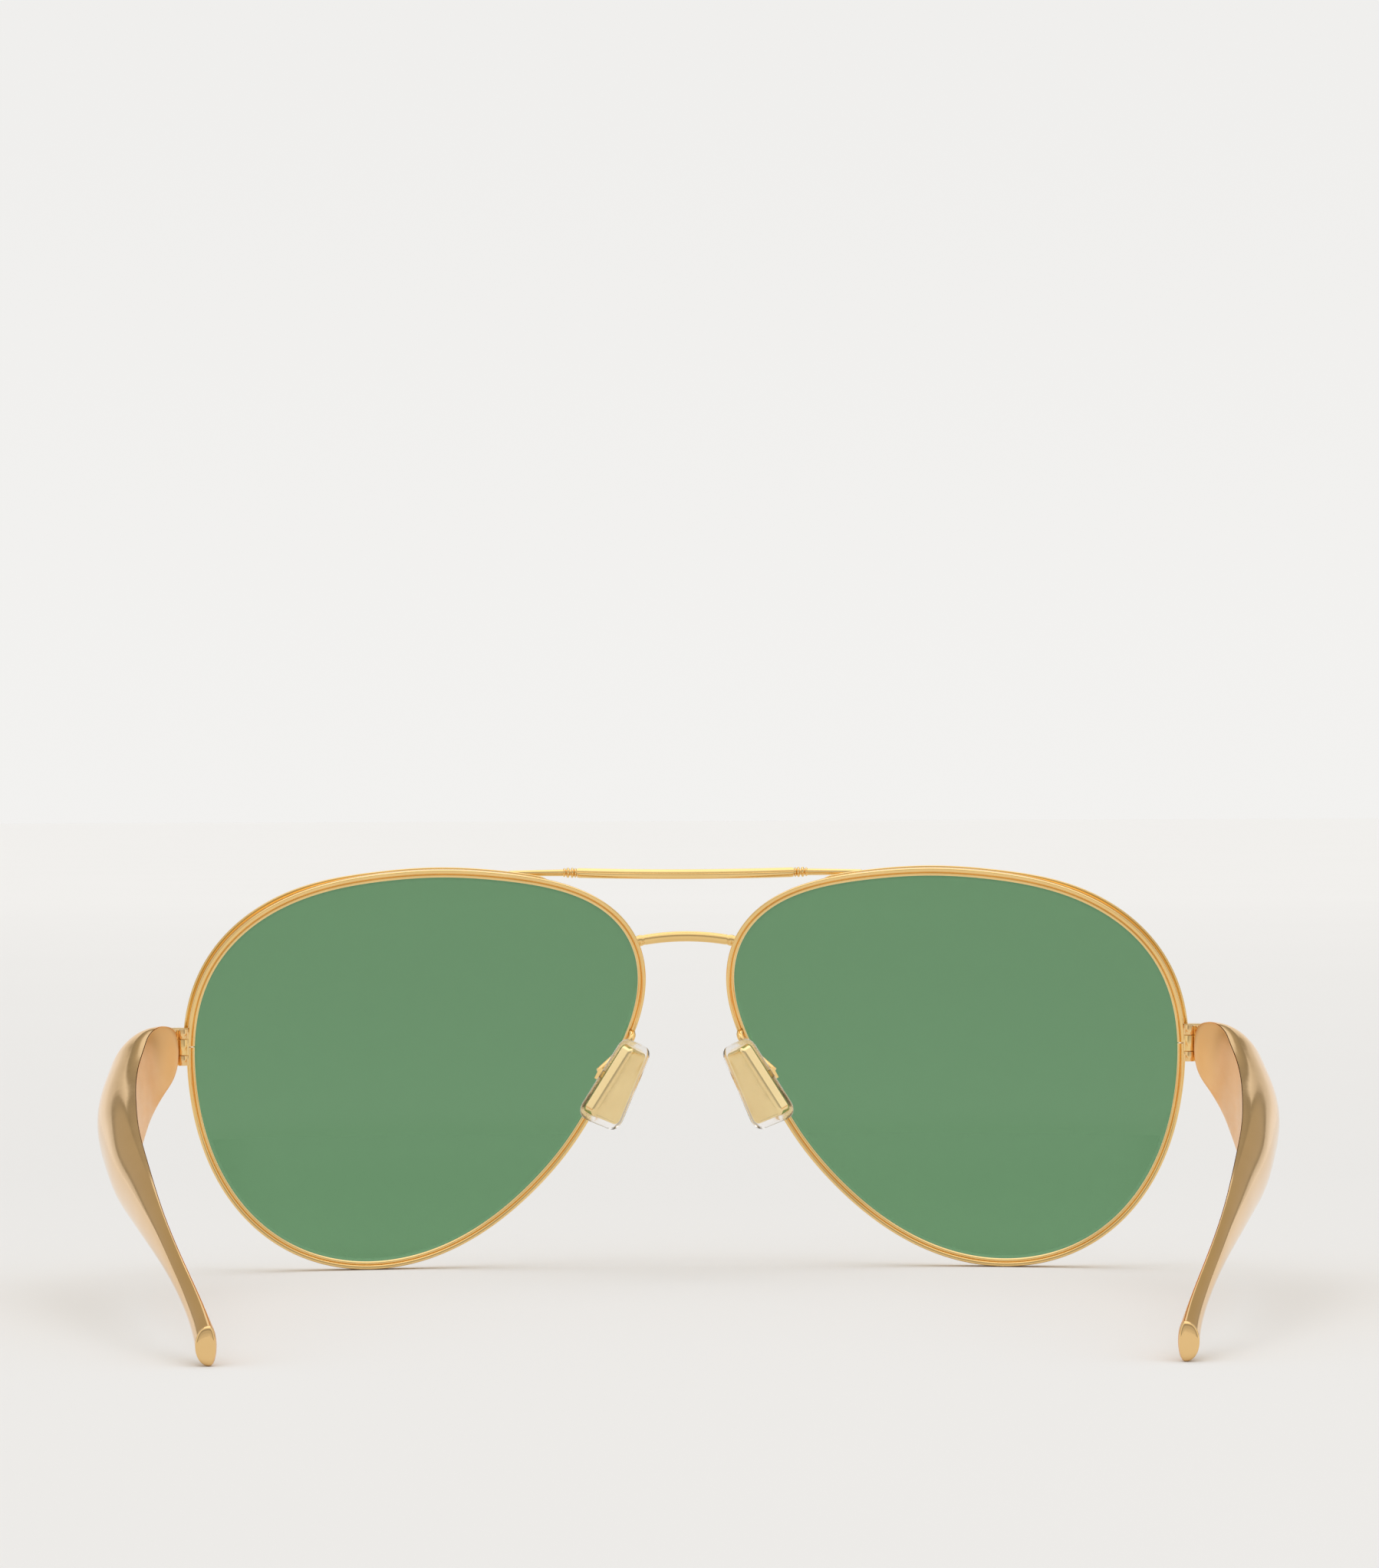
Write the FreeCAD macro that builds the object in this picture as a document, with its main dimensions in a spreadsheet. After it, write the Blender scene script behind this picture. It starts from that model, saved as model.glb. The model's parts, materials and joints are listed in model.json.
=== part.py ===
import FreeCAD, Part
import Sketcher
import math
import os
from FreeCAD import Vector, Rotation, Placement

# Aviator sunglasses, standing open on the lower rims and the two temple tips.
# +Z up, +Y forward (the way the lenses face), +X to the wearer's right.
# Right-hand pieces are modelled, left-hand pieces are their mirror images in
# the plane X = 0. All lengths are millimetres, all angles are degrees.

doc = FreeCAD.newDocument("aviator_sunglasses")
sheet = doc.addObject("Spreadsheet::Sheet", "dims")
sheet.Label = "dims"

DIMS = [
    # front, wrap and lens
    ("front_y", 62.574, "Y of the lens reference plane"),
    ("lens_x", 36.30, "lens centre from the middle"),
    ("lens_z", 26.597, "lens centre above the table"),
    ("wrap_angle", 6.0, "face-form wrap of each lens"),
    ("lean_angle", 3.0, "backward lean of the front"),
    ("base_radius", 110.0, "radius of the lens front surface"),
    ("lens_thick", 2.0, "lens thickness"),
    ("tongue_out", 0.35, "bevel tongue beyond the visible lens"),
    ("groove_out", 0.40, "groove depth in the rim"),
    ("tongue_front", 0.60, "tongue start behind the front surface"),
    ("tongue_thick", 0.80, "tongue thickness"),
    ("groove_play", 0.05, "groove play each side of the tongue"),
    ("rim_width", 1.05, "rim width seen from behind"),
    ("rim_proud", 0.25, "rim stands in front of and behind the lens"),
    ("rim_slit", 0.16, "slit that lets the rim open for the lens"),
    # brow rail, bar and bridge
    ("rail_gap", 0.02, "joint gap between rim and brow rail"),
    ("rail_depth", 0.90, "brow rail depth"),
    ("rail_in", 0.20, "brow rail inner edge from the lens edge"),
    ("rail_top", 1.20, "brow rail outer edge along the top"),
    ("rail_side", 1.52, "brow rail outer edge at the temple side"),
    ("bar_half", 14.40, "half length of the brow bar"),
    ("bar_rad", 0.66, "brow bar radius"),
    ("bar_mid_z", 52.00, "brow bar height in the middle"),
    ("bar_end_z", 52.22, "brow bar height at its ends"),
    ("bar_y", -0.95, "brow bar middle, from the reference plane"),
    ("bar_end_y", -1.30, "brow bar ends, from the reference plane"),
    ("collar_len", 1.90, "collar length"),
    ("collar_rad", 0.70, "collar radius"),
    ("arm_r_small", 0.38, "brow arm radius at its outer end"),
    ("arm_r_big", 0.48, "brow arm radius at the collar"),
    ("arm_end_x", 23.60, "brow arm outer end"),
    ("arm_end_y", -2.75, "brow arm outer end, from the reference plane"),
    ("arm_end_z", 52.22, "brow arm outer end height"),
    ("bridge_rad", 0.72, "bridge wire radius"),
    ("bridge_half", 7.35, "half length of the bridge wire"),
    ("bridge_mid_z", 43.75, "bridge height in the middle"),
    ("bridge_end_z", 42.95, "bridge height at the rims"),
    ("bridge_y", -1.20, "bridge middle, from the reference plane"),
    ("bridge_end_y", -2.05, "bridge ends, from the reference plane"),
    # hinge
    ("hinge_x", 66.00, "hinge axis from the middle"),
    ("hinge_y", -11.00, "hinge axis behind the reference plane"),
    ("knuckle_rad", 0.85, "knuckle radius"),
    ("hinge_low", 27.35, "bottom of the lower knuckle"),
    ("hinge_a", 28.65, "top of the lower knuckle"),
    ("hinge_b", 28.75, "bottom of the middle knuckle"),
    ("hinge_c", 30.75, "top of the middle knuckle"),
    ("hinge_d", 30.85, "bottom of the upper knuckle"),
    ("hinge_top", 32.10, "top of the upper knuckle"),
    ("pin_rad", 0.45, "hinge screw shank radius"),
    ("pin_play", 0.03, "radial running clearance"),
    ("head_rad", 0.65, "hinge screw head radius"),
    ("head_high", 0.40, "hinge screw head height"),
    ("slot_wide", 0.30, "screwdriver slot width"),
    ("slot_deep", 0.20, "screwdriver slot depth"),
    # end piece and closing block
    ("block_in", 65.20, "end piece inner side"),
    ("block_out", 68.00, "end piece outer side"),
    ("block_front", -6.60, "end piece front"),
    ("block_back", -9.95, "end piece back"),
    ("block_split_up", 29.83, "underside of the end piece"),
    ("block_split_low", 29.67, "top of the closing block"),
    ("block_top", 32.20, "top of the end piece"),
    ("block_low", 27.30, "bottom of the closing block"),
    ("lock_x", 67.05, "closing screw axis from the middle"),
    ("lock_y", -8.20, "closing screw axis behind the reference plane"),
    ("lock_rad", 0.45, "closing screw shank radius"),
    ("lock_head", 0.75, "closing screw head radius"),
    ("lock_top", 31.60, "closing screw end"),
    # temple leaf
    ("leaf_gap", 0.10, "gap between middle knuckle and leaf"),
    ("leaf_bar", 0.45, "leaf cross bar thickness"),
    ("leaf_deep", 2.20, "leaf tongue length inside the temple"),
    ("leaf_tongue", 0.65, "leaf tongue thickness"),
    # nose pads
    ("pad_x", 9.10, "pad centre from the middle"),
    ("pad_y", -8.00, "pad centre behind the reference plane"),
    ("pad_z", 24.60, "pad centre height"),
    ("pad_half", 6.00, "pad half length"),
    ("pad_top_w", 5.40, "pad width at the top"),
    ("pad_low_w", 8.60, "pad width at the bottom"),
    ("pad_thick", 2.60, "pad thickness"),
    ("pad_corner", 1.50, "pad corner radius"),
    ("pad_round", 0.90, "pad edge radius"),
    ("core_half", 4.95, "core half length"),
    ("core_top_w", 3.70, "core width at the top"),
    ("core_low_w", 6.60, "core width at the bottom"),
    ("core_thick", 1.20, "core thickness"),
    ("core_corner", 0.70, "core corner radius"),
    ("stem_wide", 0.80, "stem thickness"),
    ("stem_high", 1.10, "stem height"),
    ("pivot_deep", 2.05, "pad pivot behind the pad middle"),
    ("box_half", 0.90, "pad box half width"),
    ("box_wall", 0.40, "pad box wall"),
    ("box_high", 1.60, "pad box height"),
    ("box_open", 1.50, "pad box mouth behind the pad middle"),
    ("box_floor", 2.70, "pad box floor behind the pad middle"),
    ("box_back", 3.05, "pad box back behind the pad middle"),
    ("pad_pin", 0.30, "pad screw shank radius"),
    ("pad_head", 0.45, "pad screw head radius"),
    ("pad_head_len", 0.28, "pad screw head length"),
    ("wire_rad", 0.45, "pad arm wire radius"),
    # tip cap
    ("cap_len", 0.90, "tip cap length"),
]

# distance of the visible lens edge from the lens centre, every 10 degrees
RADII = [28.91, 29.34, 29.69, 29.59, 28.92, 27.88, 26.79, 25.88, 25.35,
         25.33, 25.81, 26.79, 28.40, 30.57, 32.47, 32.86, 31.25, 28.44,
         25.74, 23.88, 22.76, 22.07, 21.70, 21.68, 22.01, 22.63, 23.49,
         24.50, 25.59, 26.66, 27.59, 28.25, 28.59, 28.69, 28.67, 28.69]
for i, r in enumerate(RADII):
    DIMS.append(("edge_rad_%02d" % i, r, "lens edge at %d deg" % (10 * i)))

# temple sections, from hinge to tip: distance behind the reference plane,
# inner face, outward bulge, inward bulge, top, bottom, height share of the
# widest line
SECTIONS = [
    (12.20, 67.05, 1.65, 0.55, 31.85, 27.25, 0.50),
    (12.80, 67.12, 2.20, 0.80, 32.10, 26.35, 0.50),
    (15.00, 68.07, 3.90, 1.00, 32.65, 23.95, 0.50),
    (18.50, 69.35, 4.75, 0.90, 32.05, 21.30, 0.49),
    (23.50, 69.70, 4.88, 0.62, 30.68, 19.30, 0.47),
    (31.00, 69.75, 4.94, 0.35, 28.70, 17.00, 0.46),
    (40.00, 69.32, 4.80, 0.16, 26.62, 14.85, 0.45),
    (50.00, 68.36, 4.18, 0.12, 24.55, 13.22, 0.44),
    (60.00, 67.15, 3.50, 0.12, 22.34, 11.98, 0.44),
    (72.00, 65.20, 2.65, 0.12, 19.70, 10.90, 0.44),
    (84.00, 63.06, 1.82, 0.14, 16.96, 9.80, 0.45),
    (95.00, 60.82, 1.18, 0.18, 13.95, 8.50, 0.46),
    (105.00, 58.32, 1.02, 0.24, 10.72, 6.55, 0.48),
    (114.00, 55.85, 1.10, 0.36, 7.68, 3.78, 0.50),
    (120.50, 54.22, 1.36, 0.52, 5.68, 1.52, 0.50),
    (125.00, 53.26, 1.58, 0.72, 4.42, 0.00, 0.50),
]
for i, s in enumerate(SECTIONS):
    for tag, v in zip(("dist", "face", "out", "inw", "top", "low", "mid"), s):
        DIMS.append(("sec_%02d_%s" % (i, tag), v, "temple section %d %s" % (i, tag)))

row = 1
for alias, value, note in DIMS:
    sheet.set("A%d" % row, note)
    sheet.set("B%d" % row, "%.4f" % value)
    sheet.setAlias("B%d" % row, alias)
    row += 1
doc.recompute()


def dim(alias):
    return float(getattr(sheet, alias))


def ref(expr):
    # "{alias}" becomes a reference to the sheet
    return expr.replace("{", "<<dims>>.").replace("}", "")


def bind(obj, **props):
    for prop, expr in props.items():
        obj.setExpression(prop.replace("__", "."), ref(expr))


FY = dim("front_y")


def P(x, y, z):
    return Vector(x, y + FY, z)


# ---------------------------------------------------------------- helpers
def box(name, x0, x1, y0, y1, z0, z1):
    """A box bound to the sheet; each argument is an expression string.
    y expressions are measured from the reference plane."""
    o = doc.addObject("Part::Box", name)
    bind(o, Length="(%s)-(%s)" % (x1, x0), Width="(%s)-(%s)" % (y1, y0), Height="(%s)-(%s)" % (z1, z0))
    bind(o, Placement__Base__x=x0, Placement__Base__y="{front_y}+(%s)" % y0, Placement__Base__z=z0)
    return o


def cyl(name, rad, x, y, z0, z1):
    """An upright cylinder bound to the sheet."""
    o = doc.addObject("Part::Cylinder", name)
    bind(o, Radius=rad, Height="(%s)-(%s)" % (z1, z0))
    bind(o, Placement__Base__x=x, Placement__Base__y="{front_y}+(%s)" % y, Placement__Base__z=z0)
    return o


def fuse(name, *objs):
    o = doc.addObject("Part::MultiFuse", name)
    o.Shapes = list(objs)
    return o


def cut(name, base, *tools):
    cur = base
    for i, t in enumerate(tools):
        o = doc.addObject("Part::Cut", name if i == len(tools) - 1 else "%s_%d" % (name, i))
        o.Base = cur
        o.Tool = t
        cur = o
    return cur


def common(name, a, b):
    o = doc.addObject("Part::MultiCommon", name)
    o.Shapes = [a, b]
    return o


def plane_of(body, role):
    return [f for f in body.Origin.OriginFeatures if f.Role == role][0]


def new_sketch(body, name, role):
    sk = body.newObject("Sketcher::SketchObject", name)
    sk.AttachmentSupport = [(plane_of(body, role), "")]
    sk.MapMode = "FlatFace"
    return sk


def symmetric(pad):
    if hasattr(pad, "SideType"):
        pad.SideType = "Symmetric"
    else:
        pad.Midplane = True


# ---------------------------------------------------------------- lens frame
ROT = Rotation(Vector(1, 0, 0), dim("lean_angle")).multiply(Rotation(Vector(0, 0, 1), -dim("wrap_angle")))
LENS = Placement(P(dim("lens_x"), 0, dim("lens_z")), ROT)


def to_row(x, y, z):
    return LENS.multVec(Vector(x, y, z))


N = len(RADII)
COEF = []
for k in range(0, 10):
    a = sum(dim("edge_rad_%02d" % i) * math.cos(k * 2 * math.pi * i / N) for i in range(N)) * (1.0 if k == 0 else 2.0) / N
    b = sum(dim("edge_rad_%02d" % i) * math.sin(k * 2 * math.pi * i / N) for i in range(N)) * 2.0 / N
    COEF.append((a, b))


def edge_point(t, off):
    """Point of the lens outline at polar angle t, moved outward by off."""
    r = COEF[0][0] + sum(COEF[k][0] * math.cos(k * t) + COEF[k][1] * math.sin(k * t) for k in range(1, 10))
    d = sum(-COEF[k][0] * k * math.sin(k * t) + COEF[k][1] * k * math.cos(k * t) for k in range(1, 10))
    x, z = r * math.cos(t), r * math.sin(t)
    tx, tz = d * math.cos(t) - r * math.sin(t), d * math.sin(t) + r * math.cos(t)
    n = math.hypot(tx, tz)
    return Vector(x + off * tz / n, z - off * tx / n, 0)


def outline_pad(name, off, count=60):
    """Body: the lens outline, moved outward by off(t), padded both ways."""
    body = doc.addObject("PartDesign::Body", name)
    sk = new_sketch(body, name + "_sketch", "XZ_Plane")
    pts = []
    for i in range(count):
        t = 2 * math.pi * i / count
        o = off(t) if callable(off) else off
        pts.append(edge_point(t, o))
    curve = Part.BSplineCurve()
    curve.interpolate(Points=pts, PeriodicFlag=True)
    sk.addGeometry(curve, False)
    pad = body.newObject("PartDesign::Pad", name + "_pad")
    pad.Profile = sk
    pad.Length = 24.0
    symmetric(pad)
    body.Placement = LENS
    return body


def ball(name, drop, grow="0"):
    """Sphere concentric with the lens surface, its skin `drop` behind the
    lens front surface."""
    o = doc.addObject("Part::Sphere", name)
    bind(o, Radius="{base_radius}-(%s)" % drop)
    o.Placement = LENS.multiply(Placement(Vector(0, -dim("base_radius"), 0), Rotation()))
    return o


def slab(name, profile, front, back):
    """The part of profile between two concentric spheres."""
    a = common(name + "_front", profile, ball(name + "_s1", front))
    return cut(name, a, ball(name + "_s2", back))


# ---------------------------------------------------------------- lens and rim
p_in = outline_pad("edge_inner", -0.05)
p_vis = outline_pad("edge_visible", 0.0)
p_out = outline_pad("edge_outer", dim("rim_width"))
p_tongue = outline_pad("edge_tongue", dim("tongue_out"))
p_groove = outline_pad("edge_groove", dim("groove_out"))

lens_body = slab("lens_plate", p_in, "0", "{lens_thick}")
lens_rib = slab("lens_rib", p_tongue, "{tongue_front}", "{tongue_front}+{tongue_thick}")
lens_r = fuse("lens_right", lens_body, lens_rib)

rim_ring = cut("rim_ring", p_out, p_vis)
rim_shell = slab("rim_shell", rim_ring, "-{rim_proud}", "{lens_thick}+{rim_proud}")
groove = slab("rim_groove", p_groove, "{tongue_front}-{groove_play}", "{tongue_front}+{tongue_thick}+{groove_play}")
slit = box("rim_slit", "{block_in}-4", "{block_out}", "-20", "5",
           "({block_split_up}+{block_split_low})/2-{rim_slit}/2", "({block_split_up}+{block_split_low})/2+{rim_slit}/2")
rim_r = cut("rim_right", rim_shell, groove, slit)


# ---------------------------------------------------------------- brow rail
def rail_off(t):
    deg = math.degrees(t) % 360
    a, b = dim("rail_side"), dim("rail_top")
    if deg > 180:
        return a
    if deg < 48:
        return a
    if deg > 82:
        return b
    u = (deg - 48) / 34.0
    u = u * u * (3 - 2 * u)
    return a + (b - a) * u


p_rail_out = outline_pad("rail_outer", rail_off, 72)
p_rail_in = outline_pad("rail_inner", dim("rail_in"))
rail_ring = cut("rail_ring", p_rail_out, p_rail_in)
rail_shell = slab("rail_shell", rail_ring, "-{rim_proud}-{rail_gap}-{rail_depth}", "-{rim_proud}-{rail_gap}")
sector = doc.addObject("PartDesign::Body", "rail_sector")
ssk = new_sketch(sector, "rail_sector_sketch", "XZ_Plane")
lo, hi = math.radians(10.5), math.radians(126.5)
far = 60.0
corners = [Vector(0, 0, 0), Vector(far * math.cos(lo), far * math.sin(lo), 0), Vector(far, far, 0), Vector(0, far, 0),
           Vector(far * math.cos(hi), far * math.sin(hi), 0)]
for i in range(len(corners)):
    ssk.addGeometry(Part.LineSegment(corners[i], corners[(i + 1) % len(corners)]), False)
spad = sector.newObject("PartDesign::Pad", "rail_sector_pad")
spad.Profile = ssk
spad.Length = 30
symmetric(spad)
sector.Placement = LENS
rail_r = common("brow_rail_right", rail_shell, sector)


# ---------------------------------------------------------------- brow bar, collars, arms
def arc_tube(name, p0, p1, p2, rad):
    """Round wire along the circular arc p0, p1, p2."""
    path = doc.addObject("Part::Feature", name + "_path")
    arc = Part.Arc(p0, p1, p2)
    path.Shape = Part.Wire([arc.toShape()])
    circ = doc.addObject("Part::Circle", name + "_profile")
    bind(circ, Radius=rad)
    tan = arc.tangent(arc.FirstParameter)[0]
    circ.Placement = Placement(p0, Rotation(Vector(0, 0, 1), tan))
    sw = doc.addObject("Part::Sweep", name)
    sw.Sections = [circ]
    sw.Spine = (path, ["Edge1"])
    sw.Solid = True
    sw.Frenet = False
    return sw


bh = dim("bar_half")
bar = arc_tube("brow_bar", P(-bh, dim("bar_end_y"), dim("bar_end_z")), P(0, dim("bar_y"), dim("bar_mid_z")),
               P(bh, dim("bar_end_y"), dim("bar_end_z")), "{bar_rad}")

# collar: turned ring with a waist, over the end of the bar
collar = doc.addObject("PartDesign::Body", "collar_raw")
csk = new_sketch(collar, "collar_sketch", "XY_Plane")
L, R1 = dim("collar_len"), dim("collar_rad")
prof = [(0, 0), (0, R1 * 0.70), (0.16 * L, R1), (0.36 * L, R1), (0.46 * L, R1 * 0.74), (0.56 * L, R1 * 0.74), (0.66 * L, R1 * 0.95),
        (0.86 * L, R1 * 0.95), (L, R1 * 0.66), (L, 0)]
for i in range(len(prof)):
    a, b = prof[i], prof[(i + 1) % len(prof)]
    csk.addGeometry(Part.LineSegment(Vector(a[0], a[1], 0), Vector(b[0], b[1], 0)), False)
crev = collar.newObject("PartDesign::Revolution", "collar_turn")
crev.Profile = csk
crev.ReferenceAxis = (csk, ["H_Axis"])
crev.Angle = 360
collar.Placement = Placement(P(bh, dim("bar_end_y"), dim("bar_end_z")), Rotation(Vector(1, 0, 0), Vector(1, -0.05, 0.03)))
collar_r = cut("brow_collar_right", collar, bar)

arm_from = collar.Placement.multVec(Vector(L, 0, 0))
arm_to = P(dim("arm_end_x"), dim("arm_end_y"), dim("arm_end_z"))
cone = doc.addObject("Part::Cone", "brow_arm_cone")
bind(cone, Radius1="{arm_r_big}", Radius2="{arm_r_small}")
cone.Height = (arm_to - arm_from).Length
cone.Placement = Placement(arm_from, Rotation(Vector(0, 0, 1), arm_to - arm_from))
arm_r = cut("brow_arm_right", cone, collar, rail_r, rim_r)

# ---------------------------------------------------------------- bridge
hh = dim("bridge_half")
bridge_raw = arc_tube("bridge_raw", P(-hh, dim("bridge_end_y"), dim("bridge_end_z")), P(0, dim("bridge_y"), dim("bridge_mid_z")),
                      P(hh, dim("bridge_end_y"), dim("bridge_end_z")), "{bridge_rad}")


def mirror(name, src):
    o = doc.addObject("Part::Mirroring", name)
    o.Source = src
    o.Base = Vector(0, 0, 0)
    o.Normal = Vector(1, 0, 0)
    return o


rim_l = mirror("rim_left", rim_r)
bridge = cut("bridge", bridge_raw, rim_r, rim_l)

# ---------------------------------------------------------------- end piece, closing block, screws
Z1, Z2 = "{hinge_b}", "{hinge_c}"
ep_block = box("end_block", "{block_in}", "{block_out}", "{block_back}", "{block_front}", "{block_split_up}", "{block_top}")
ep_link = box("end_link", "{hinge_x}-{knuckle_rad}*0.7", "{hinge_x}+{knuckle_rad}", "{hinge_y}", "{block_back}+0.05", Z1, Z2)
ep_barrel = cyl("end_barrel", "{knuckle_rad}", "{hinge_x}", "{hinge_y}", Z1, Z2)
ep_hole = cyl("end_hole", "{pin_rad}+{pin_play}", "{hinge_x}", "{hinge_y}", "%s-1" % Z1, "%s+1" % Z2)
ep_relief = box("end_relief", "{block_in}-1", "{block_out}+1", "{block_back}+0.0", "{block_front}+1", "{hinge_b}-1", "{block_split_up}")
lock_hole = cyl("lock_hole", "{lock_rad}+0.01", "{lock_x}", "{lock_y}", "{block_low}-1", "{lock_top}+0.05")
ep_raw = fuse("end_raw", ep_block, ep_link, ep_barrel)
end_r = cut("end_piece_right", ep_raw, ep_hole, ep_relief, lock_hole, rim_shell, rail_r)

cb_block = box("close_block", "{block_in}", "{block_out}", "{block_back}+0.10", "{block_front}", "{block_low}", "{block_split_low}")
cb_bore = cyl("close_bore", "{lock_head}+0.02", "{lock_x}", "{lock_y}", "{block_low}-1", "{block_low}+0.45")
close_r = cut("closing_block_right", cb_block, lock_hole, cb_bore, rim_shell)

ls_head = cyl("lock_head", "{lock_head}", "{lock_x}", "{lock_y}", "{block_low}", "{block_low}+0.45")
ls_shank = cyl("lock_shank", "{lock_rad}", "{lock_x}", "{lock_y}", "{block_low}+0.2", "{lock_top}")
ls_slot = box("lock_slot", "{lock_x}-2", "{lock_x}+2", "{lock_y}-{slot_wide}/2", "{lock_y}+{slot_wide}/2", "{block_low}-1", "{block_low}+{slot_deep}")
lock_r = cut("closing_screw_right", fuse("lock_raw", ls_head, ls_shank), ls_slot)

# ---------------------------------------------------------------- temple leaf and hinge screw
k_low = cyl("leaf_low", "{knuckle_rad}", "{hinge_x}", "{hinge_y}", "{hinge_low}", "{hinge_a}")
k_top = cyl("leaf_top", "{knuckle_rad}", "{hinge_x}", "{hinge_y}", "{hinge_d}", "{hinge_top}")
bar_y0 = "{hinge_y}-{knuckle_rad}-{leaf_gap}-{leaf_bar}"
a_low = box("leaf_arm_low", "{hinge_x}-0.3", "{hinge_x}+2.0", "{hinge_y}-0.6", "{hinge_y}", "{hinge_low}", "{hinge_a}")
a_top = box("leaf_arm_top", "{hinge_x}-0.3", "{hinge_x}+2.0", "{hinge_y}-0.6", "{hinge_y}", "{hinge_d}", "{hinge_top}")
cross = box("leaf_cross", "{hinge_x}+{knuckle_rad}+{leaf_gap}", "{hinge_x}+2.0", bar_y0, "{hinge_y}", "{hinge_low}", "{hinge_top}")
tongue = box("leaf_tongue", "{hinge_x}+1.5", "{hinge_x}+1.5+{leaf_tongue}", "%s-{leaf_deep}" % bar_y0, bar_y0, "{hinge_low}+0.6", "{hinge_top}-0.6")
leaf_raw = fuse("leaf_raw", k_low, k_top, a_low, a_top, cross, tongue)
leaf_hole = cyl("leaf_hole", "{pin_rad}+{pin_play}", "{hinge_x}", "{hinge_y}", "{hinge_low}-1", "{hinge_top}+1")
leaf_bore = cyl("leaf_bore", "{head_rad}+{pin_play}", "{hinge_x}", "{hinge_y}", "{hinge_top}-{head_high}", "{hinge_top}+1")
leaf_r = cut("temple_hinge_right", leaf_raw, leaf_hole, leaf_bore)

hs_head = cyl("pin_head", "{head_rad}", "{hinge_x}", "{hinge_y}", "{hinge_top}-{head_high}", "{hinge_top}")
hs_shank = cyl("pin_shank", "{pin_rad}", "{hinge_x}", "{hinge_y}", "{hinge_low}", "{hinge_top}-{head_high}/2")
hs_slot = box("pin_slot", "{hinge_x}-2", "{hinge_x}+2", "{hinge_y}-{slot_wide}/2", "{hinge_y}+{slot_wide}/2", "{hinge_top}-{slot_deep}", "{hinge_top}+1")
pin_r = cut("hinge_screw_right", fuse("pin_raw", hs_head, hs_shank), hs_slot)


# ---------------------------------------------------------------- temple
def section_sketch(name, i, shrink=1.0):
    d, xf, out, inw, zt, zb, mid = [dim("sec_%02d_%s" % (i, k)) for k in ("dist", "face", "out", "inw", "top", "low", "mid")]
    sk = doc.addObject("Sketcher::SketchObject", name)
    zm = zt - (zt - zb) * mid
    outer = []
    n = 10
    for j in range(n + 1):
        a = math.pi * j / n
        z = zm + (zt - zm) * math.cos(a) if a <= math.pi / 2 else zm + (zm - zb) * math.cos(a)
        outer.append(Vector(xf + out * math.sin(a) ** 0.92 if 0 < j < n else xf, z, 0))
    inner = []
    n = 8
    for j in range(n + 1):
        a = math.pi * j / n
        z = zb + (zt - zb) * (1 - math.cos(a)) / 2
        inner.append(Vector(xf - inw * math.sin(a) if 0 < j < n else xf, z, 0))
    for pts in (outer, inner):
        c = Part.BSplineCurve()
        c.interpolate(pts)
        sk.addGeometry(c, False)
    # sketch x -> X, sketch y -> Z, plane at the section's distance
    sk.Placement = Placement(Vector(0, FY - d, 0), Rotation(Vector(1, 0, 0), Vector(0, 0, 1), Vector(0, -1, 0), "XYZ"))
    bind(sk, Placement__Base__y="{front_y}-{sec_%02d_dist}" % i)
    return sk


sks = [section_sketch("temple_section_%02d" % i, i) for i in range(len(SECTIONS))]
loft = doc.addObject("Part::Loft", "temple_loft")
loft.Sections = sks
loft.Solid = True
loft.Ruled = False
temple_r = cut("temple_right", loft, leaf_raw)

# tip cap: a domed end on the last section
last = len(SECTIONS) - 1
cap_sk = section_sketch("tip_section", last)
cap = doc.addObject("Part::Feature", "tip_dome")
d, xf, out, inw, zt, zb, mid = [dim("sec_%02d_%s" % (last, k)) for k in ("dist", "face", "out", "inw", "top", "low", "mid")]
doc.recompute()
w0 = cap_sk.Shape.Wires[0]
cx, cz = xf + (out - inw) / 2, (zt + zb) / 2


def scaled(wire, k, dy):
    m = FreeCAD.Matrix()
    m.move(Vector(-cx, -(FY - d), -cz))
    m.scale(k, 1, k)
    m.move(Vector(cx, FY - d - dy, cz))
    return wire.transformGeometry(m)


cl = dim("cap_len")
cap.Shape = Part.makeLoft([w0, scaled(w0, 0.93, cl * 0.45), scaled(w0, 0.74, cl * 0.80), scaled(w0, 0.42, cl)], True, False)
cap.Label = "temple_tip_right"
tip_r = cap

# ---------------------------------------------------------------- nose pad
la = Vector(0.461, 0, -0.887).normalize()
wa = Vector(0.5, -0.826, 0.26)
wa = (wa - la * wa.dot(la)).normalize()
na = wa.cross(la)
PADROT = Rotation(wa, -la, -na, "XYZ")
PAD = Placement(P(dim("pad_x"), dim("pad_y"), dim("pad_z")), PADROT)


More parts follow.
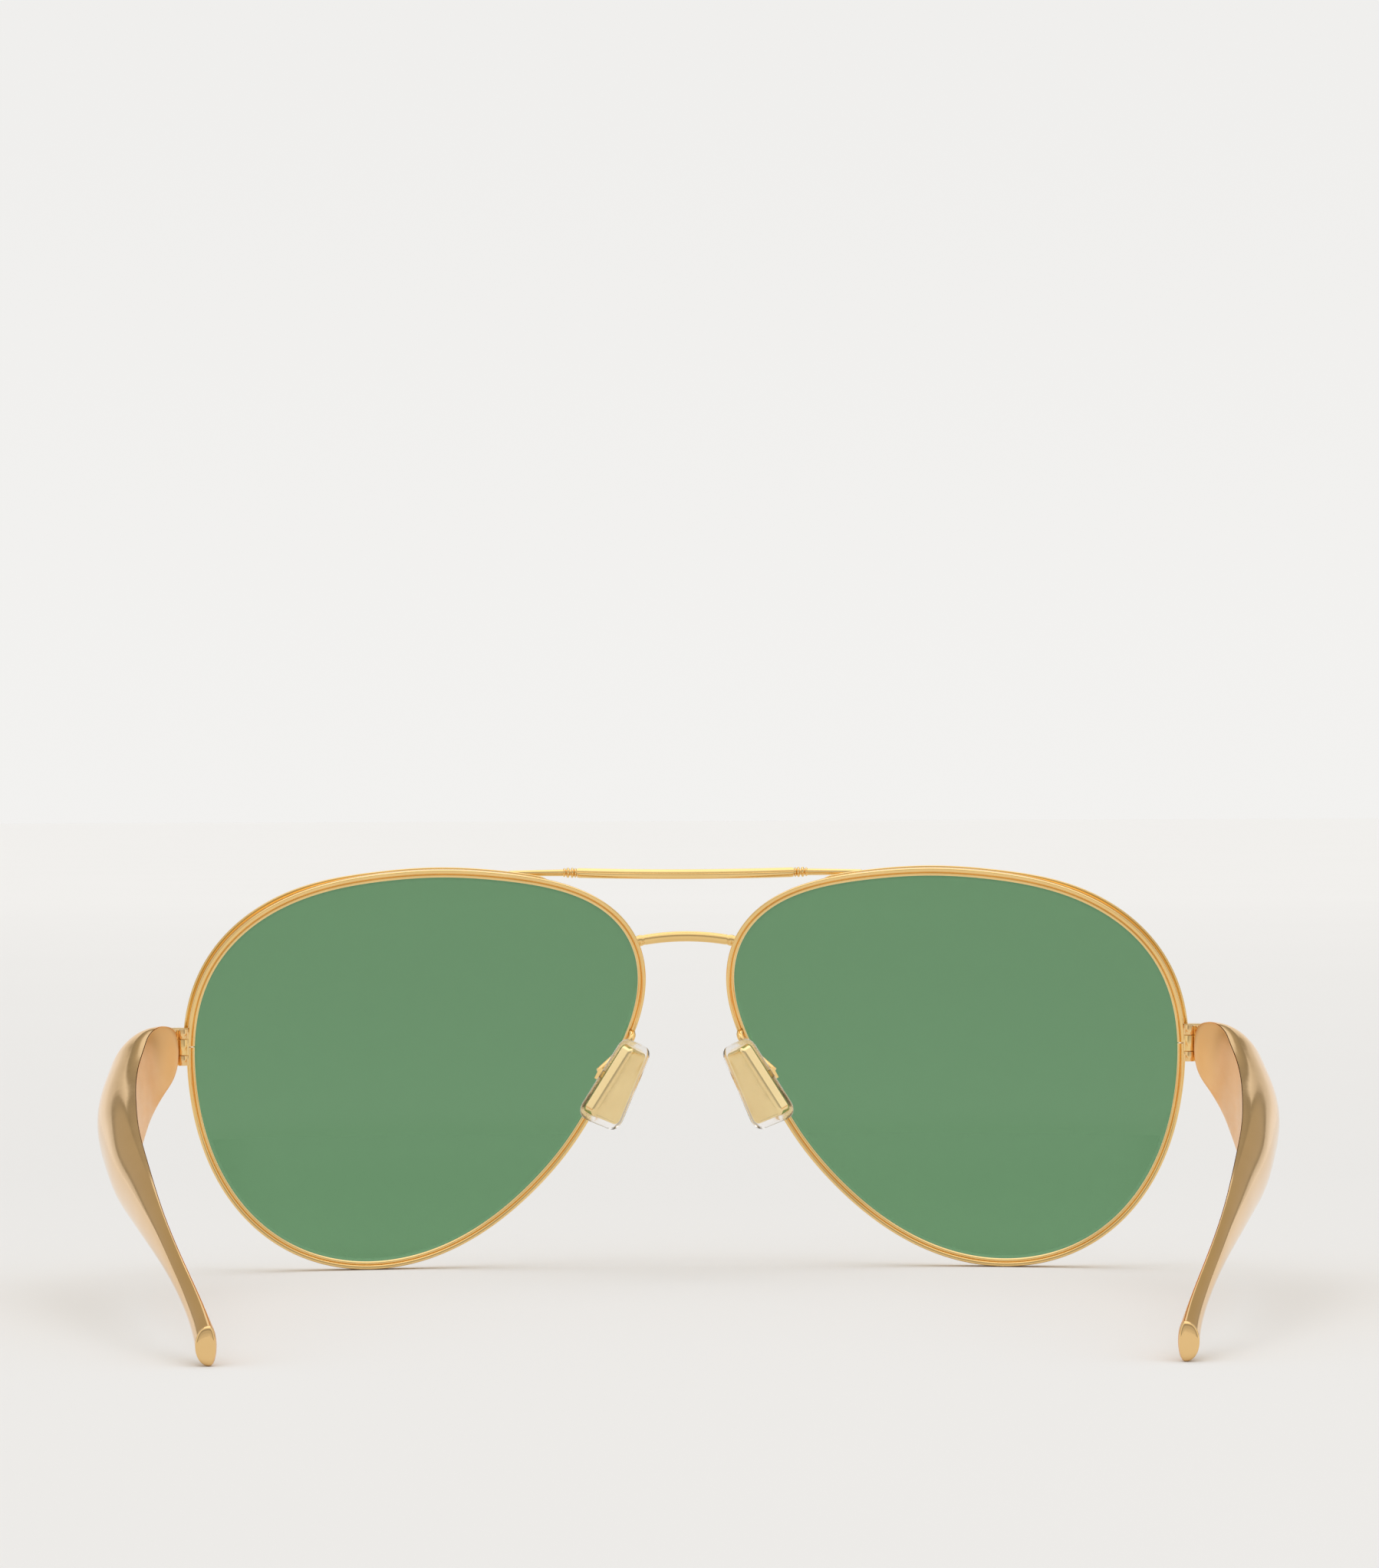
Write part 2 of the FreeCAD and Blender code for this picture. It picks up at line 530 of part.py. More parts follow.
def trapezoid_body(name, half, w_top, w_low, thick, corner, rnd):
    body = doc.addObject("PartDesign::Body", name)
    sk = new_sketch(body, name + "_sketch", "XY_Plane")
    hl, wt, wl = dim(half), dim(w_top) / 2, dim(w_low) / 2
    pts = [Vector(-wt, hl, 0), Vector(-wl, -hl, 0), Vector(wl, -hl, 0), Vector(wt, hl, 0)]
    g = []
    for i in range(4):
        g.append(sk.addGeometry(Part.LineSegment(pts[i], pts[(i + 1) % 4]), False))
    for i in range(4):
        sk.addConstraint(Sketcher.Constraint("Coincident", i, 2, (i + 1) % 4, 1))
    sk.addConstraint(Sketcher.Constraint("Symmetric", 1, 1, 1, 2, -2))
    sk.addConstraint(Sketcher.Constraint("Symmetric", 3, 1, 3, 2, -2))
    c = sk.addConstraint(Sketcher.Constraint("DistanceX", 1, 1, 1, 2, dim(w_low)))
    sk.setExpression("Constraints[%d]" % c, ref("{%s}" % w_low))
    c = sk.addConstraint(Sketcher.Constraint("DistanceX", 3, 2, 3, 1, dim(w_top)))
    sk.setExpression("Constraints[%d]" % c, ref("{%s}" % w_top))
    c = sk.addConstraint(Sketcher.Constraint("DistanceY", 1, 1, -1, 1, hl))
    sk.setExpression("Constraints[%d]" % c, ref("{%s}" % half))
    c = sk.addConstraint(Sketcher.Constraint("DistanceY", -1, 1, 3, 1, hl))
    sk.setExpression("Constraints[%d]" % c, ref("{%s}" % half))
    pad = body.newObject("PartDesign::Pad", name + "_pad")
    pad.Profile = sk
    pad.setExpression("Length", ref("{%s}" % thick))
    symmetric(pad)
    doc.recompute()
    names = []
    for i, e in enumerate(pad.Shape.Edges):
        a, b = e.Vertexes[0].Point, e.Vertexes[-1].Point
        if abs(a.x - b.x) < 1e-6 and abs(a.y - b.y) < 1e-6:
            names.append("Edge%d" % (i + 1))
    f = body.newObject("PartDesign::Fillet", name + "_corners")
    f.Base = (pad, names)
    f.Radius = dim(corner)
    f.setExpression("Radius", ref("{%s}" % corner))
    doc.recompute()
    if rnd:
        names = []
        zs = dim(thick) / 2
        for i, e in enumerate(f.Shape.Edges):
            a, b = e.Vertexes[0].Point, e.Vertexes[-1].Point
            if abs(abs(a.z) - zs) < 1e-6 and abs(a.z - b.z) < 1e-6:
                names.append("Edge%d" % (i + 1))
        f2 = body.newObject("PartDesign::Fillet", name + "_edges")
        f2.Base = (f, names)
        f2.Radius = dim(rnd)
        f2.setExpression("Radius", ref("{%s}" % rnd))
        doc.recompute()
    body.Placement = PAD
    return body


pad_solid = trapezoid_body("pad_solid", "pad_half", "pad_top_w", "pad_low_w", "pad_thick", "pad_corner", "pad_round")
core_plate = trapezoid_body("core_plate", "core_half", "core_top_w", "core_low_w", "core_thick", "core_corner", None)


def local_box(name, x0, x1, y0, y1, z0, z1):
    """Box in the pad frame: x front to rear edge, y up, z towards the nose."""
    o = doc.addObject("Part::Box", name)
    bind(o, Length="(%s)-(%s)" % (x1, x0), Width="(%s)-(%s)" % (y1, y0), Height="(%s)-(%s)" % (z1, z0))
    doc.recompute()
    off = Vector(*[value(e) for e in (x0, y0, z0)])
    o.Placement = PAD.multiply(Placement(off, Rotation()))
    return o


def value(expr):
    tmp = doc.addObject("App::FeaturePython", "value_of")
    tmp.addProperty("App::PropertyFloat", "v")
    tmp.setExpression("v", ref(expr))
    tmp.recompute()
    v = float(tmp.v)
    doc.removeObject(tmp.Name)
    return v


def local_pin(name, rad, x0, x1, z):
    """Cylinder along the pad frame's x axis at depth z."""
    o = doc.addObject("Part::Cylinder", name)
    bind(o, Radius=rad, Height="(%s)-(%s)" % (x1, x0))
    doc.recompute()
    o.Placement = PAD.multiply(Placement(Vector(value(x0), 0, value(z)), Rotation(Vector(0, 0, 1), Vector(1, 0, 0))))
    return o


stem_bar = local_box("stem_bar", "-{stem_wide}/2", "{stem_wide}/2", "-{stem_high}/2", "{stem_high}/2", "-{pivot_deep}", "-{core_thick}/2+0.1")
stem_eye = local_pin("stem_eye", "{stem_high}/2", "-{stem_wide}/2", "{stem_wide}/2", "-{pivot_deep}")
core_raw = fuse("core_raw", core_plate, stem_bar, stem_eye)
stem_hole = local_pin("stem_hole", "{pad_pin}+{pin_play}", "-2", "2", "-{pivot_deep}")
core_r = cut("pad_core_right", core_raw, stem_hole)
pad_r = cut("nose_pad_right", pad_solid, core_raw)

wall_a = local_box("pad_wall_a", "-{box_half}", "-{box_half}+{box_wall}", "-{box_high}/2", "{box_high}/2", "-{box_back}", "-{box_open}")
wall_b = local_box("pad_wall_b", "{box_half}-{box_wall}", "{box_half}", "-{box_high}/2", "{box_high}/2", "-{box_back}", "-{box_open}")
floor = local_box("pad_floor", "-{box_half}", "{box_half}", "-{box_high}/2", "{box_high}/2", "-{box_back}", "-{box_floor}")
wall_hole = local_pin("wall_hole", "{pad_pin}+0.01", "-3", "3", "-{pivot_deep}")
box_r = cut("pad_box_right", fuse("pad_box_raw", wall_a, wall_b, floor), wall_hole)
ps_shank = local_pin("pad_screw_shank", "{pad_pin}", "-{box_half}", "{box_half}+0.1", "-{pivot_deep}")
ps_head = local_pin("pad_screw_head", "{pad_head}", "{box_half}", "{box_half}+{pad_head_len}", "-{pivot_deep}")
ps_slot = local_box("pad_screw_slot", "{box_half}+{pad_head_len}-0.15", "{box_half}+2", "-0.12", "0.12", "-{pivot_deep}-2", "-{pivot_deep}+2")
screw_r = cut("pad_screw_right", fuse("pad_screw_raw", ps_shank, ps_head), ps_slot)


def bent_path(pts, share=0.45):
    """Straight runs joined by tangent arcs."""
    edges = []
    start = pts[0]
    for i in range(1, len(pts) - 1):
        a, b, c = pts[i - 1], pts[i], pts[i + 1]
        u = (a - b).normalize()
        v = (c - b).normalize()
        run = min((a - b).Length, (c - b).Length) * share
        p, q = b + u * run, b + v * run
        half = math.acos(max(-1, min(1, u.dot(v)))) / 2
        rad = run * math.tan(half)
        mid_dir = (u + v).normalize()
        centre = b + mid_dir * (run / math.cos(half))
        m = centre - mid_dir * rad
        edges.append(Part.LineSegment(start, p).toShape())
        edges.append(Part.Arc(p, m, q).toShape())
        start = q
    edges.append(Part.LineSegment(start, pts[-1]).toShape())
    return Part.Wire(edges)


back = dim("box_back") + 0.34
arm_pts = [P(7.20, -2.9, 31.3), P(7.05, -4.3, 30.5), PAD.multVec(Vector(-1.7, 2.9, -back + 0.05)), PAD.multVec(Vector(0.1, 0.25, -back))]
arm_path = doc.addObject("Part::Feature", "pad_arm_path")
arm_path.Shape = bent_path(arm_pts)
arm_circ = doc.addObject("Part::Circle", "pad_arm_profile")
bind(arm_circ, Radius="{wire_rad}")
arm_circ.Placement = Placement(arm_pts[0], Rotation(Vector(0, 0, 1), arm_pts[1] - arm_pts[0]))
arm_sweep = doc.addObject("Part::Sweep", "pad_arm_sweep")
arm_sweep.Sections = [arm_circ]
arm_sweep.Spine = (arm_path, ["Edge%d" % (i + 1) for i in range(len(arm_path.Shape.Edges))])
arm_sweep.Solid = True
arm_sweep.Frenet = False
doc.recompute()
padarm_r = cut("pad_arm_right", arm_sweep, rim_r, box_r)

doc.recompute()

# ---------------------------------------------------------------- nodes
RIGHT = [lens_r, rim_r, rail_r, collar_r, arm_r, end_r, close_r, lock_r, leaf_r, pin_r, temple_r, tip_r, pad_r, core_r, box_r,
         screw_r, padarm_r]
nodes = {"brow_bar": bar, "bridge": bridge}
for o in RIGHT:
    name = o.Label if o.Label.endswith("_right") else o.Name
    nodes[name] = o
    left = name.replace("_right", "_left")
    nodes[left] = rim_l if left == "rim_left" else mirror(left, o)
doc.recompute()

bad = []
for o in doc.Objects:
    if "Invalid" in o.State or "Error" in o.State:
        bad.append("%s: %s" % (o.Name, o.State))
for name, o in nodes.items():
    o.Label = name
    s = o.Shape
    if s.isNull() or not s.isValid():
        bad.append("%s: bad shape" % name)
    elif len(s.Solids) != 1:
        bad.append("%s: %d solids %s" % (name, len(s.Solids), [round(x.Volume, 4) for x in s.Solids]))
total = None
for name in sorted(nodes):
    s = nodes[name].Shape
    if s.isNull():
        continue
    b = FreeCAD.BoundBox()
    for v in s.tessellate(0.02)[0]:
        b.add(v)
    total = FreeCAD.BoundBox(b) if total is None else total.united(b)
    print("%-22s vol %9.3f  x %7.2f %7.2f  y %7.2f %7.2f  z %6.2f %6.2f" % (name, s.Volume, b.XMin, b.XMax, b.YMin, b.YMax, b.ZMin, b.ZMax))
print("all: x %.3f %.3f y %.3f %.3f z %.3f %.3f" % (total.XMin, total.XMax, total.YMin, total.YMax, total.ZMin, total.ZMax))
if bad:
    raise RuntimeError("; ".join(bad))

os.makedirs("parts", exist_ok=True)
for name, o in nodes.items():
    o.Shape.exportStep(os.path.join("parts", name + ".step"))
print("wrote %d parts" % len(nodes))
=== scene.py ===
import json
import math

import bmesh
import bpy
import numpy as np
from mathutils import Matrix, Quaternion, Vector

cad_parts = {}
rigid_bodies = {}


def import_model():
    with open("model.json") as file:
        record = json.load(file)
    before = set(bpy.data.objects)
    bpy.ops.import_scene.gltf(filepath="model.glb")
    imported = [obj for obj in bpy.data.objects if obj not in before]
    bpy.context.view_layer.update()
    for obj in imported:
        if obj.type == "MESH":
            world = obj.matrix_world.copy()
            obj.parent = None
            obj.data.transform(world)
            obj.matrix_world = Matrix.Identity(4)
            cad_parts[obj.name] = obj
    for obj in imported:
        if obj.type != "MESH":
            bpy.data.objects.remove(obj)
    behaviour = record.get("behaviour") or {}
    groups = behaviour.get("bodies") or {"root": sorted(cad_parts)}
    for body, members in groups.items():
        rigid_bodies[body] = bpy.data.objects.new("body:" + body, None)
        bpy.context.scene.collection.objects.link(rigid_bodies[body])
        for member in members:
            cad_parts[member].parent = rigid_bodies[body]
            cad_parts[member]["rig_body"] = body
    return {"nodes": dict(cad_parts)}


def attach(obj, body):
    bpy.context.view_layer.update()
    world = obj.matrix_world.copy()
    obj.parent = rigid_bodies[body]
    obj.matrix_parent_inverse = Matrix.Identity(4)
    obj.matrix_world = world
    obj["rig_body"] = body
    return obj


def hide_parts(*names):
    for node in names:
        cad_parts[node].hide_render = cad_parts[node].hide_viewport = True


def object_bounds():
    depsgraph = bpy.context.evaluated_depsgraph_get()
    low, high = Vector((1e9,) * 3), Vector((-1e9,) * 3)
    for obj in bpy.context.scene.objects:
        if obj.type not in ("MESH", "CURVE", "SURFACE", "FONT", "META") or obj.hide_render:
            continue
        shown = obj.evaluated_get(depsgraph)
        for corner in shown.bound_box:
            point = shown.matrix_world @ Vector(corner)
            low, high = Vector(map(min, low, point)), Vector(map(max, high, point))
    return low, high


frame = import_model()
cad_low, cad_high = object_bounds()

NODES = frame["nodes"]
MM = 0.001
FY = 62.574  # lens reference plane, mm

# ------------------------------------------------------------------ materials


def new_material(name):
    m = bpy.data.materials.new(name)
    m.use_nodes = True
    nt = m.node_tree
    nt.nodes.clear()
    out = nt.nodes.new("ShaderNodeOutputMaterial")
    p = nt.nodes.new("ShaderNodeBsdfPrincipled")
    nt.links.new(p.outputs[0], out.inputs[0])
    return m, nt, p


def noise(nt, scale, detail=3.0, rough=0.55, stretch=(1, 1, 1)):
    co = nt.nodes.new("ShaderNodeTexCoord")
    mp = nt.nodes.new("ShaderNodeMapping")
    mp.inputs["Scale"].default_value = stretch
    n = nt.nodes.new("ShaderNodeTexNoise")
    n.inputs["Scale"].default_value = scale
    n.inputs["Detail"].default_value = detail
    n.inputs["Roughness"].default_value = rough
    nt.links.new(co.outputs["Object"], mp.inputs[0])
    nt.links.new(mp.outputs[0], n.inputs["Vector"])
    return n.outputs["Fac"]


def remap(nt, fac, lo, hi, a=0.3, b=0.7):
    r = nt.nodes.new("ShaderNodeMapRange")
    r.inputs["From Min"].default_value = a
    r.inputs["From Max"].default_value = b
    r.inputs["To Min"].default_value = lo
    r.inputs["To Max"].default_value = hi
    nt.links.new(fac, r.inputs["Value"])
    return r.outputs[0]


def ramp(nt, fac, stops):
    r = nt.nodes.new("ShaderNodeValToRGB")
    els = r.color_ramp.elements
    while len(els) < len(stops):
        els.new(0.5)
    for e, (pos, col) in zip(els, stops):
        e.position = pos
        e.color = (*col, 1)
    nt.links.new(fac, r.inputs[0])
    return r.outputs[0]


def bump(nt, p, fac, strength, distance):
    b = nt.nodes.new("ShaderNodeBump")
    b.inputs["Strength"].default_value = strength
    b.inputs["Distance"].default_value = distance
    nt.links.new(fac, b.inputs["Height"])
    nt.links.new(b.outputs[0], p.inputs["Normal"])


def gold(name, colour, rough_lo, rough_hi, wave=0.00002, spread=0.04):
    """Polished plated metal: slow tone drift, fine wiping marks in the gloss, and a very slight unevenness of the surface."""
    m, nt, p = new_material(name)
    p.inputs["Metallic"].default_value = 1.0
    drift = noise(nt, 90, 2)
    lighter = tuple(min(1.0, c * (1 + spread)) for c in colour)
    darker = (colour[0] * (1 - spread), colour[1] * (1 - spread * 1.3), colour[2] * (1 - spread * 2.2))
    nt.links.new(ramp(nt, drift, [(0.30, darker), (0.70, lighter)]), p.inputs["Base Color"])
    wipe = noise(nt, 900, 6, 0.62, (1, 0.25, 1))
    nt.links.new(remap(nt, wipe, rough_lo, rough_hi), p.inputs["Roughness"])
    fine = noise(nt, 420, 3)
    bump(nt, p, fine, 0.35, wave)
    return m


GOLD = (0.915, 0.640, 0.275)
m_frame = gold("gold_frame", GOLD, 0.10, 0.20)
m_temple = gold("gold_temple", (0.880, 0.598, 0.278), 0.05, 0.09, 0.000006)
m_temple.node_tree.nodes["Principled BSDF"].inputs["Specular Tint"].default_value = (1.0, 0.93, 0.86, 1)
# the inner shell is the same gold as the outer one; its more orange tone is painted shading, set to match how the inner
# face looks under the light
m_inner_painted_tone = gold("gold_temple_inside_painted_tone", (0.900, 0.525, 0.215), 0.30, 0.38, 0.00003, 0.05)
# the pad plate is the same gold as the frame; its lighter, yellower colour is a painted highlight for the bright core
# seen through the silicone
m_core_painted_highlight = gold("gold_core_painted_highlight", (0.990, 0.795, 0.430), 0.12, 0.20, 0.00002)
m_screw = gold("gold_screw", (0.890, 0.590, 0.215), 0.14, 0.28, 0.00001)

# green mineral glass, a little deeper towards the top, with faint wiping marks
m_lens, nt, p = new_material("green_glass")
p.inputs["Transmission Weight"].default_value = 1.0
p.inputs["IOR"].default_value = 1.5
grad_co = nt.nodes.new("ShaderNodeTexCoord")
grad_xyz = nt.nodes.new("ShaderNodeSeparateXYZ")
nt.links.new(grad_co.outputs["Object"], grad_xyz.inputs[0])
nt.links.new(
    ramp(nt, remap(nt, grad_xyz.outputs[2], 0, 1, 0.0, 0.053), [(0.0, (0.151, 0.338, 0.163)), (1.0, (0.124, 0.284, 0.134))]),
    p.inputs["Base Color"],
)
nt.links.new(remap(nt, noise(nt, 260, 5), 0.0, 0.035, 0.35, 0.80), p.inputs["Roughness"])

# clear silicone, slightly hazy
m_pad, nt, p = new_material("clear_silicone")
p.inputs["Transmission Weight"].default_value = 1.0
p.inputs["IOR"].default_value = 1.24
nt.links.new(ramp(nt, noise(nt, 180, 2), [(0.3, (0.955, 0.925, 0.90)), (0.7, (0.985, 0.965, 0.94))]), p.inputs["Base Color"])
nt.links.new(remap(nt, noise(nt, 1400, 4), 0.10, 0.22), p.inputs["Roughness"])
bump(nt, p, noise(nt, 700, 3), 0.4, 0.00003)

SLOT_MAT = {
    "frame_gold": m_frame,
    "temple_gold": m_temple,
    "core_gold": m_core_painted_highlight,
    "screw_gold": m_screw,
    "green_lens": m_lens,
    "clear_silicone": m_pad,
}

# ------------------------------------------------------------------ mesh helpers


def volume_of(v, faces):
    s = 0.0
    for f in faces:
        a = v[f[0]]
        for i in range(1, len(f) - 1):
            s += float(np.dot(a, np.cross(v[f[i]], v[f[i + 1]])))
    return s


def add_piece(name, verts_mm, faces, body, slot, nodes=(), sharp=38.0):
    v = np.asarray(verts_mm, float) * MM
    if volume_of(v, faces) < 0:
        faces = [tuple(reversed(f)) for f in faces]
    me = bpy.data.meshes.new(name)
    me.from_pydata([tuple(p) for p in v], [], [tuple(f) for f in faces])
    me.update()
    me.materials.append(SLOT_MAT[slot])
    for poly in me.polygons:
        poly.use_smooth = True
    ob = bpy.data.objects.new(name, me)
    bpy.context.scene.collection.objects.link(ob)
    if sharp is not None:
        me.set_sharp_from_angle(angle=math.radians(sharp))
    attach(ob, body)
    if nodes:
        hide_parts(*nodes)
    return ob


def loft(rings, closed_path=False, cap=True):
    """Faces of a tube through rings of equal length; ends are closed by shrinking rings already in the list, or by one face."""
    n, m = len(rings), len(rings[0])
    v = np.concatenate([np.asarray(r, float) for r in rings])
    faces = []
    for i in range(n if closed_path else n - 1):
        a, b = i * m, ((i + 1) % n) * m
        for j in range(m):
            k = (j + 1) % m
            faces.append((a + j, a + k, b + k, b + j))
    if cap and not closed_path:
        faces.append(tuple(range(m - 1, -1, -1)))
        faces.append(tuple((n - 1) * m + j for j in range(m)))
    return v, faces


def both(name, build, body, slot, node=None, sharp=38.0):
    """The right-hand piece and its mirror image."""
    v, f = build
    out = []
    for side, s in (("right", 1), ("left", -1)):
        w = np.array(v, float)
        w[:, 0] *= s
        b = body.replace("SIDE", side)
        nodes = [node.replace("SIDE", side)] if node else []
        out.append(add_piece(f"{name}_{side}", w, f, b, slot, nodes, sharp))
    return out


def smooth_loop(points, sub=3):
    """Closed loop through the points, rounded."""
    p = np.asarray(points, float)
    n = len(p)
    out = []
    for i in range(n):
        p0, p1, p2, p3 = p[(i - 1) % n], p[i], p[(i + 1) % n], p[(i + 2) % n]
        for k in range(sub):
            t = k / sub
            out.append(0.5 * ((2 * p1) + (-p0 + p2) * t + (2 * p0 - 5 * p1 + 4 * p2 - p3) * t * t + (-p0 + 3 * p1 - 3 * p2 + p3) * t ** 3))
    return np.array(out)


def rounded_rect(w, h, r, seg=6):
    pts = []
    for cx, cy, a0 in ((w / 2 - r, h / 2 - r, 0), (-w / 2 + r, h / 2 - r, 90), (-w / 2 + r, -h / 2 + r, 180), (w / 2 - r, -h / 2 + r, 270)):
        for i in range(seg + 1):
            a = math.radians(a0 + 90 * i / seg)
            pts.append((cx + r * math.cos(a), cy + r * math.sin(a)))
    return np.array(pts)


# ------------------------------------------------------------------ lens frame
RADII = [28.91, 29.34, 29.69, 29.59, 28.92, 27.88, 26.79, 25.88, 25.35,
         25.33, 25.81, 26.79, 28.40, 30.57, 32.47, 32.86, 31.25, 28.44,
         25.74, 23.88, 22.76, 22.07, 21.70, 21.68, 22.01, 22.63, 23.49,
         24.50, 25.59, 26.66, 27.59, 28.25, 28.59, 28.69, 28.67, 28.69]
NR = len(RADII)
COEF = []
for k in range(10):
    ca = sum(RADII[i] * math.cos(k * 2 * math.pi * i / NR) for i in range(NR)) * (1.0 if k == 0 else 2.0) / NR
    cb = sum(RADII[i] * math.sin(k * 2 * math.pi * i / NR) for i in range(NR)) * 2.0 / NR
    COEF.append((ca, cb))
BASE_R = 110.0
LENS_AT = np.array([36.30, FY, 26.597])
ca, sa = math.cos(math.radians(3.0)), math.sin(math.radians(3.0))
cw, sw = math.cos(math.radians(-6.0)), math.sin(math.radians(-6.0))
LENS_ROT = np.array([[1, 0, 0], [0, ca, -sa], [0, sa, ca]]) @ np.array([[cw, -sw, 0], [sw, cw, 0], [0, 0, 1]])


def edge(t, off):
    """Lens outline at polar angle t, moved outward by off; (x, z) in the lens frame."""
    r = COEF[0][0] + sum(COEF[k][0] * math.cos(k * t) + COEF[k][1] * math.sin(k * t) for k in range(1, 10))
    d = sum(-COEF[k][0] * k * math.sin(k * t) + COEF[k][1] * k * math.cos(k * t) for k in range(1, 10))
    x, z = r * math.cos(t), r * math.sin(t)
    tx, tz = d * math.cos(t) - r * math.sin(t), d * math.sin(t) + r * math.cos(t)
    n = math.hypot(tx, tz)
    return x + off * tz / n, z - off * tx / n


def skin(x, z, drop):
    """Row position of lens-frame (x, z) on the sphere `drop` behind the lens front."""
    y = -BASE_R + math.sqrt((BASE_R - drop) ** 2 - x * x - z * z)
    return LENS_ROT @ np.array([x, y, z]) + LENS_AT


def band(profile, t0, t1, count, closed=False, taper=None):
    """Ring of the (off, drop) profile carried along the lens outline."""
    rings = []
    for i in range(count):
        t = t0 + (t1 - t0) * i / (count if closed else count - 1)
        prof = profile(t) if callable(profile) else profile
        if taper:
            prof = taper(prof, i / (count - 1), t)
        rings.append([skin(*edge(t, o), dr) for o, dr in prof])
    return rings


# ------------------------------------------------------------------ rims
RIM = smooth_loop(
    [
        (0.00, 0.10), (0.00, 0.70), (0.00, 1.30), (0.00, 1.92),
        (0.025, 2.08), (0.07, 2.15), (0.16, 2.185), (0.26, 2.175), (0.345, 2.12),
        (0.395, 2.00), (0.430, 2.00), (0.48, 2.13),
        (0.545, 2.205), (0.66, 2.235), (0.78, 2.240), (0.89, 2.215), (0.98, 2.13), (1.03, 1.95),
        (1.045, 1.45), (1.045, 0.90), (1.04, 0.35),
        (1.00, 0.02), (0.89, -0.16), (0.70, -0.24), (0.52, -0.245), (0.34, -0.24), (0.16, -0.17), (0.04, -0.05),
    ],
    3,
)
slit_t = min(np.linspace(0.0, 0.3, 1200), key=lambda t: abs(skin(*edge(t, 0.5), 1.0)[2] - 29.75))
slit = 0.085 / 29.3
rings = band([tuple(p) for p in RIM], slit_t + slit, slit_t - slit + 2 * math.pi, 460)
both("rim_wire", loft(rings), "front", "frame_gold", "rim_SIDE", sharp=60)

# ------------------------------------------------------------------ lenses
seg = 256
# (offset from the visible edge or share of the way, drop) with a small chamfer round the back
verts, faces = [], []
shares = [i / 44 for i in range(1, 44)]
rings_n = len(shares) + 3
for drop, rim_drops in ((0.0, ((-0.22, 0.0), (0.0, 0.02), (0.18, 0.10))), (2.0, ((-0.20, 2.0), (0.0, 1.86), (0.18, 1.74)))):
    verts.append(skin(0, 0, drop))
    for s in shares:
        for j in range(seg):
            x, z = edge(2 * math.pi * j / seg, 0.18)
            verts.append(skin(x * s, z * s, drop))
    for off, dr in rim_drops:
        for j in range(seg):
            verts.append(skin(*edge(2 * math.pi * j / seg, off), dr))
half = 1 + rings_n * seg
for side, o in ((0, 0), (1, half)):
    for j in range(seg):
        k = (j + 1) % seg
        tri = (o, o + 1 + j, o + 1 + k)
        faces.append(tri if side else tri[::-1])
    for i in range(rings_n - 1):
        a, b = o + 1 + i * seg, o + 1 + (i + 1) * seg
        for j in range(seg):
            k = (j + 1) % seg
            q = (a + j, b + j, b + k, a + k)
            faces.append(q if side else q[::-1])
a, b = 1 + (rings_n - 1) * seg, half + 1 + (rings_n - 1) * seg
for j in range(seg):
    k = (j + 1) % seg
    faces.append((a + j, a + k, b + k, b + j))
for ob in both("lens_glass", (np.array(verts), faces), "front", "green_lens", "lens_SIDE", sharp=50):
    ob.visible_shadow = False  # clear glass throws hardly any shadow
    ob.visible_diffuse = False
    ob.visible_glossy = False  # the polished metal beside it stays warm instead of mirroring the green


# ------------------------------------------------------------------ brow rails
def rail_out(t):
    deg = math.degrees(t)
    if deg < 48:
        return 1.52
    if deg > 82:
        return 1.20
    u = (deg - 48) / 34.0
    return 1.52 + (1.20 - 1.52) * u * u * (3 - 2 * u)


def rail_profile(t):
    lo, hi = 0.20, rail_out(t)
    w = hi - lo
    f = lambda a: lo + w * a
    return smooth_loop(
        [
            (f(0.03), -0.34), (f(0.20), -0.28), (f(0.50), -0.275), (f(0.80), -0.28), (f(0.95), -0.34),
            (f(1.00), -0.50), (f(1.00), -0.74), (f(0.95), -0.96), (f(0.80), -1.10), (f(0.50), -1.165), (f(0.20), -1.10), (f(0.05), -0.96),
            (f(0.00), -0.74), (f(0.00), -0.50),
        ],
        3,
    )


def rail_taper(prof, s, t):
    k = 1.0
    if s > 0.972:
        u = (s - 0.972) / 0.028
        k = math.sqrt(max(0.0, 1 - u * u)) * 0.80 + 0.20
    if s < 0.006:
        k = 0.85 + 0.15 * s / 0.006
    c = prof.mean(0)
    return c + (prof - c) * k


rings = band(rail_profile, math.radians(10.6), math.radians(126.4), 260, taper=rail_taper)
both("brow_rail_wire", loft(rings), "front", "frame_gold", "brow_rail_SIDE", sharp=60)


# ------------------------------------------------------------------ brow bar
def bar_point(x):
    u = (x / 14.40) ** 2
    return np.array([x, FY - 0.95 - 0.35 * u, 52.00 + 0.22 * u])


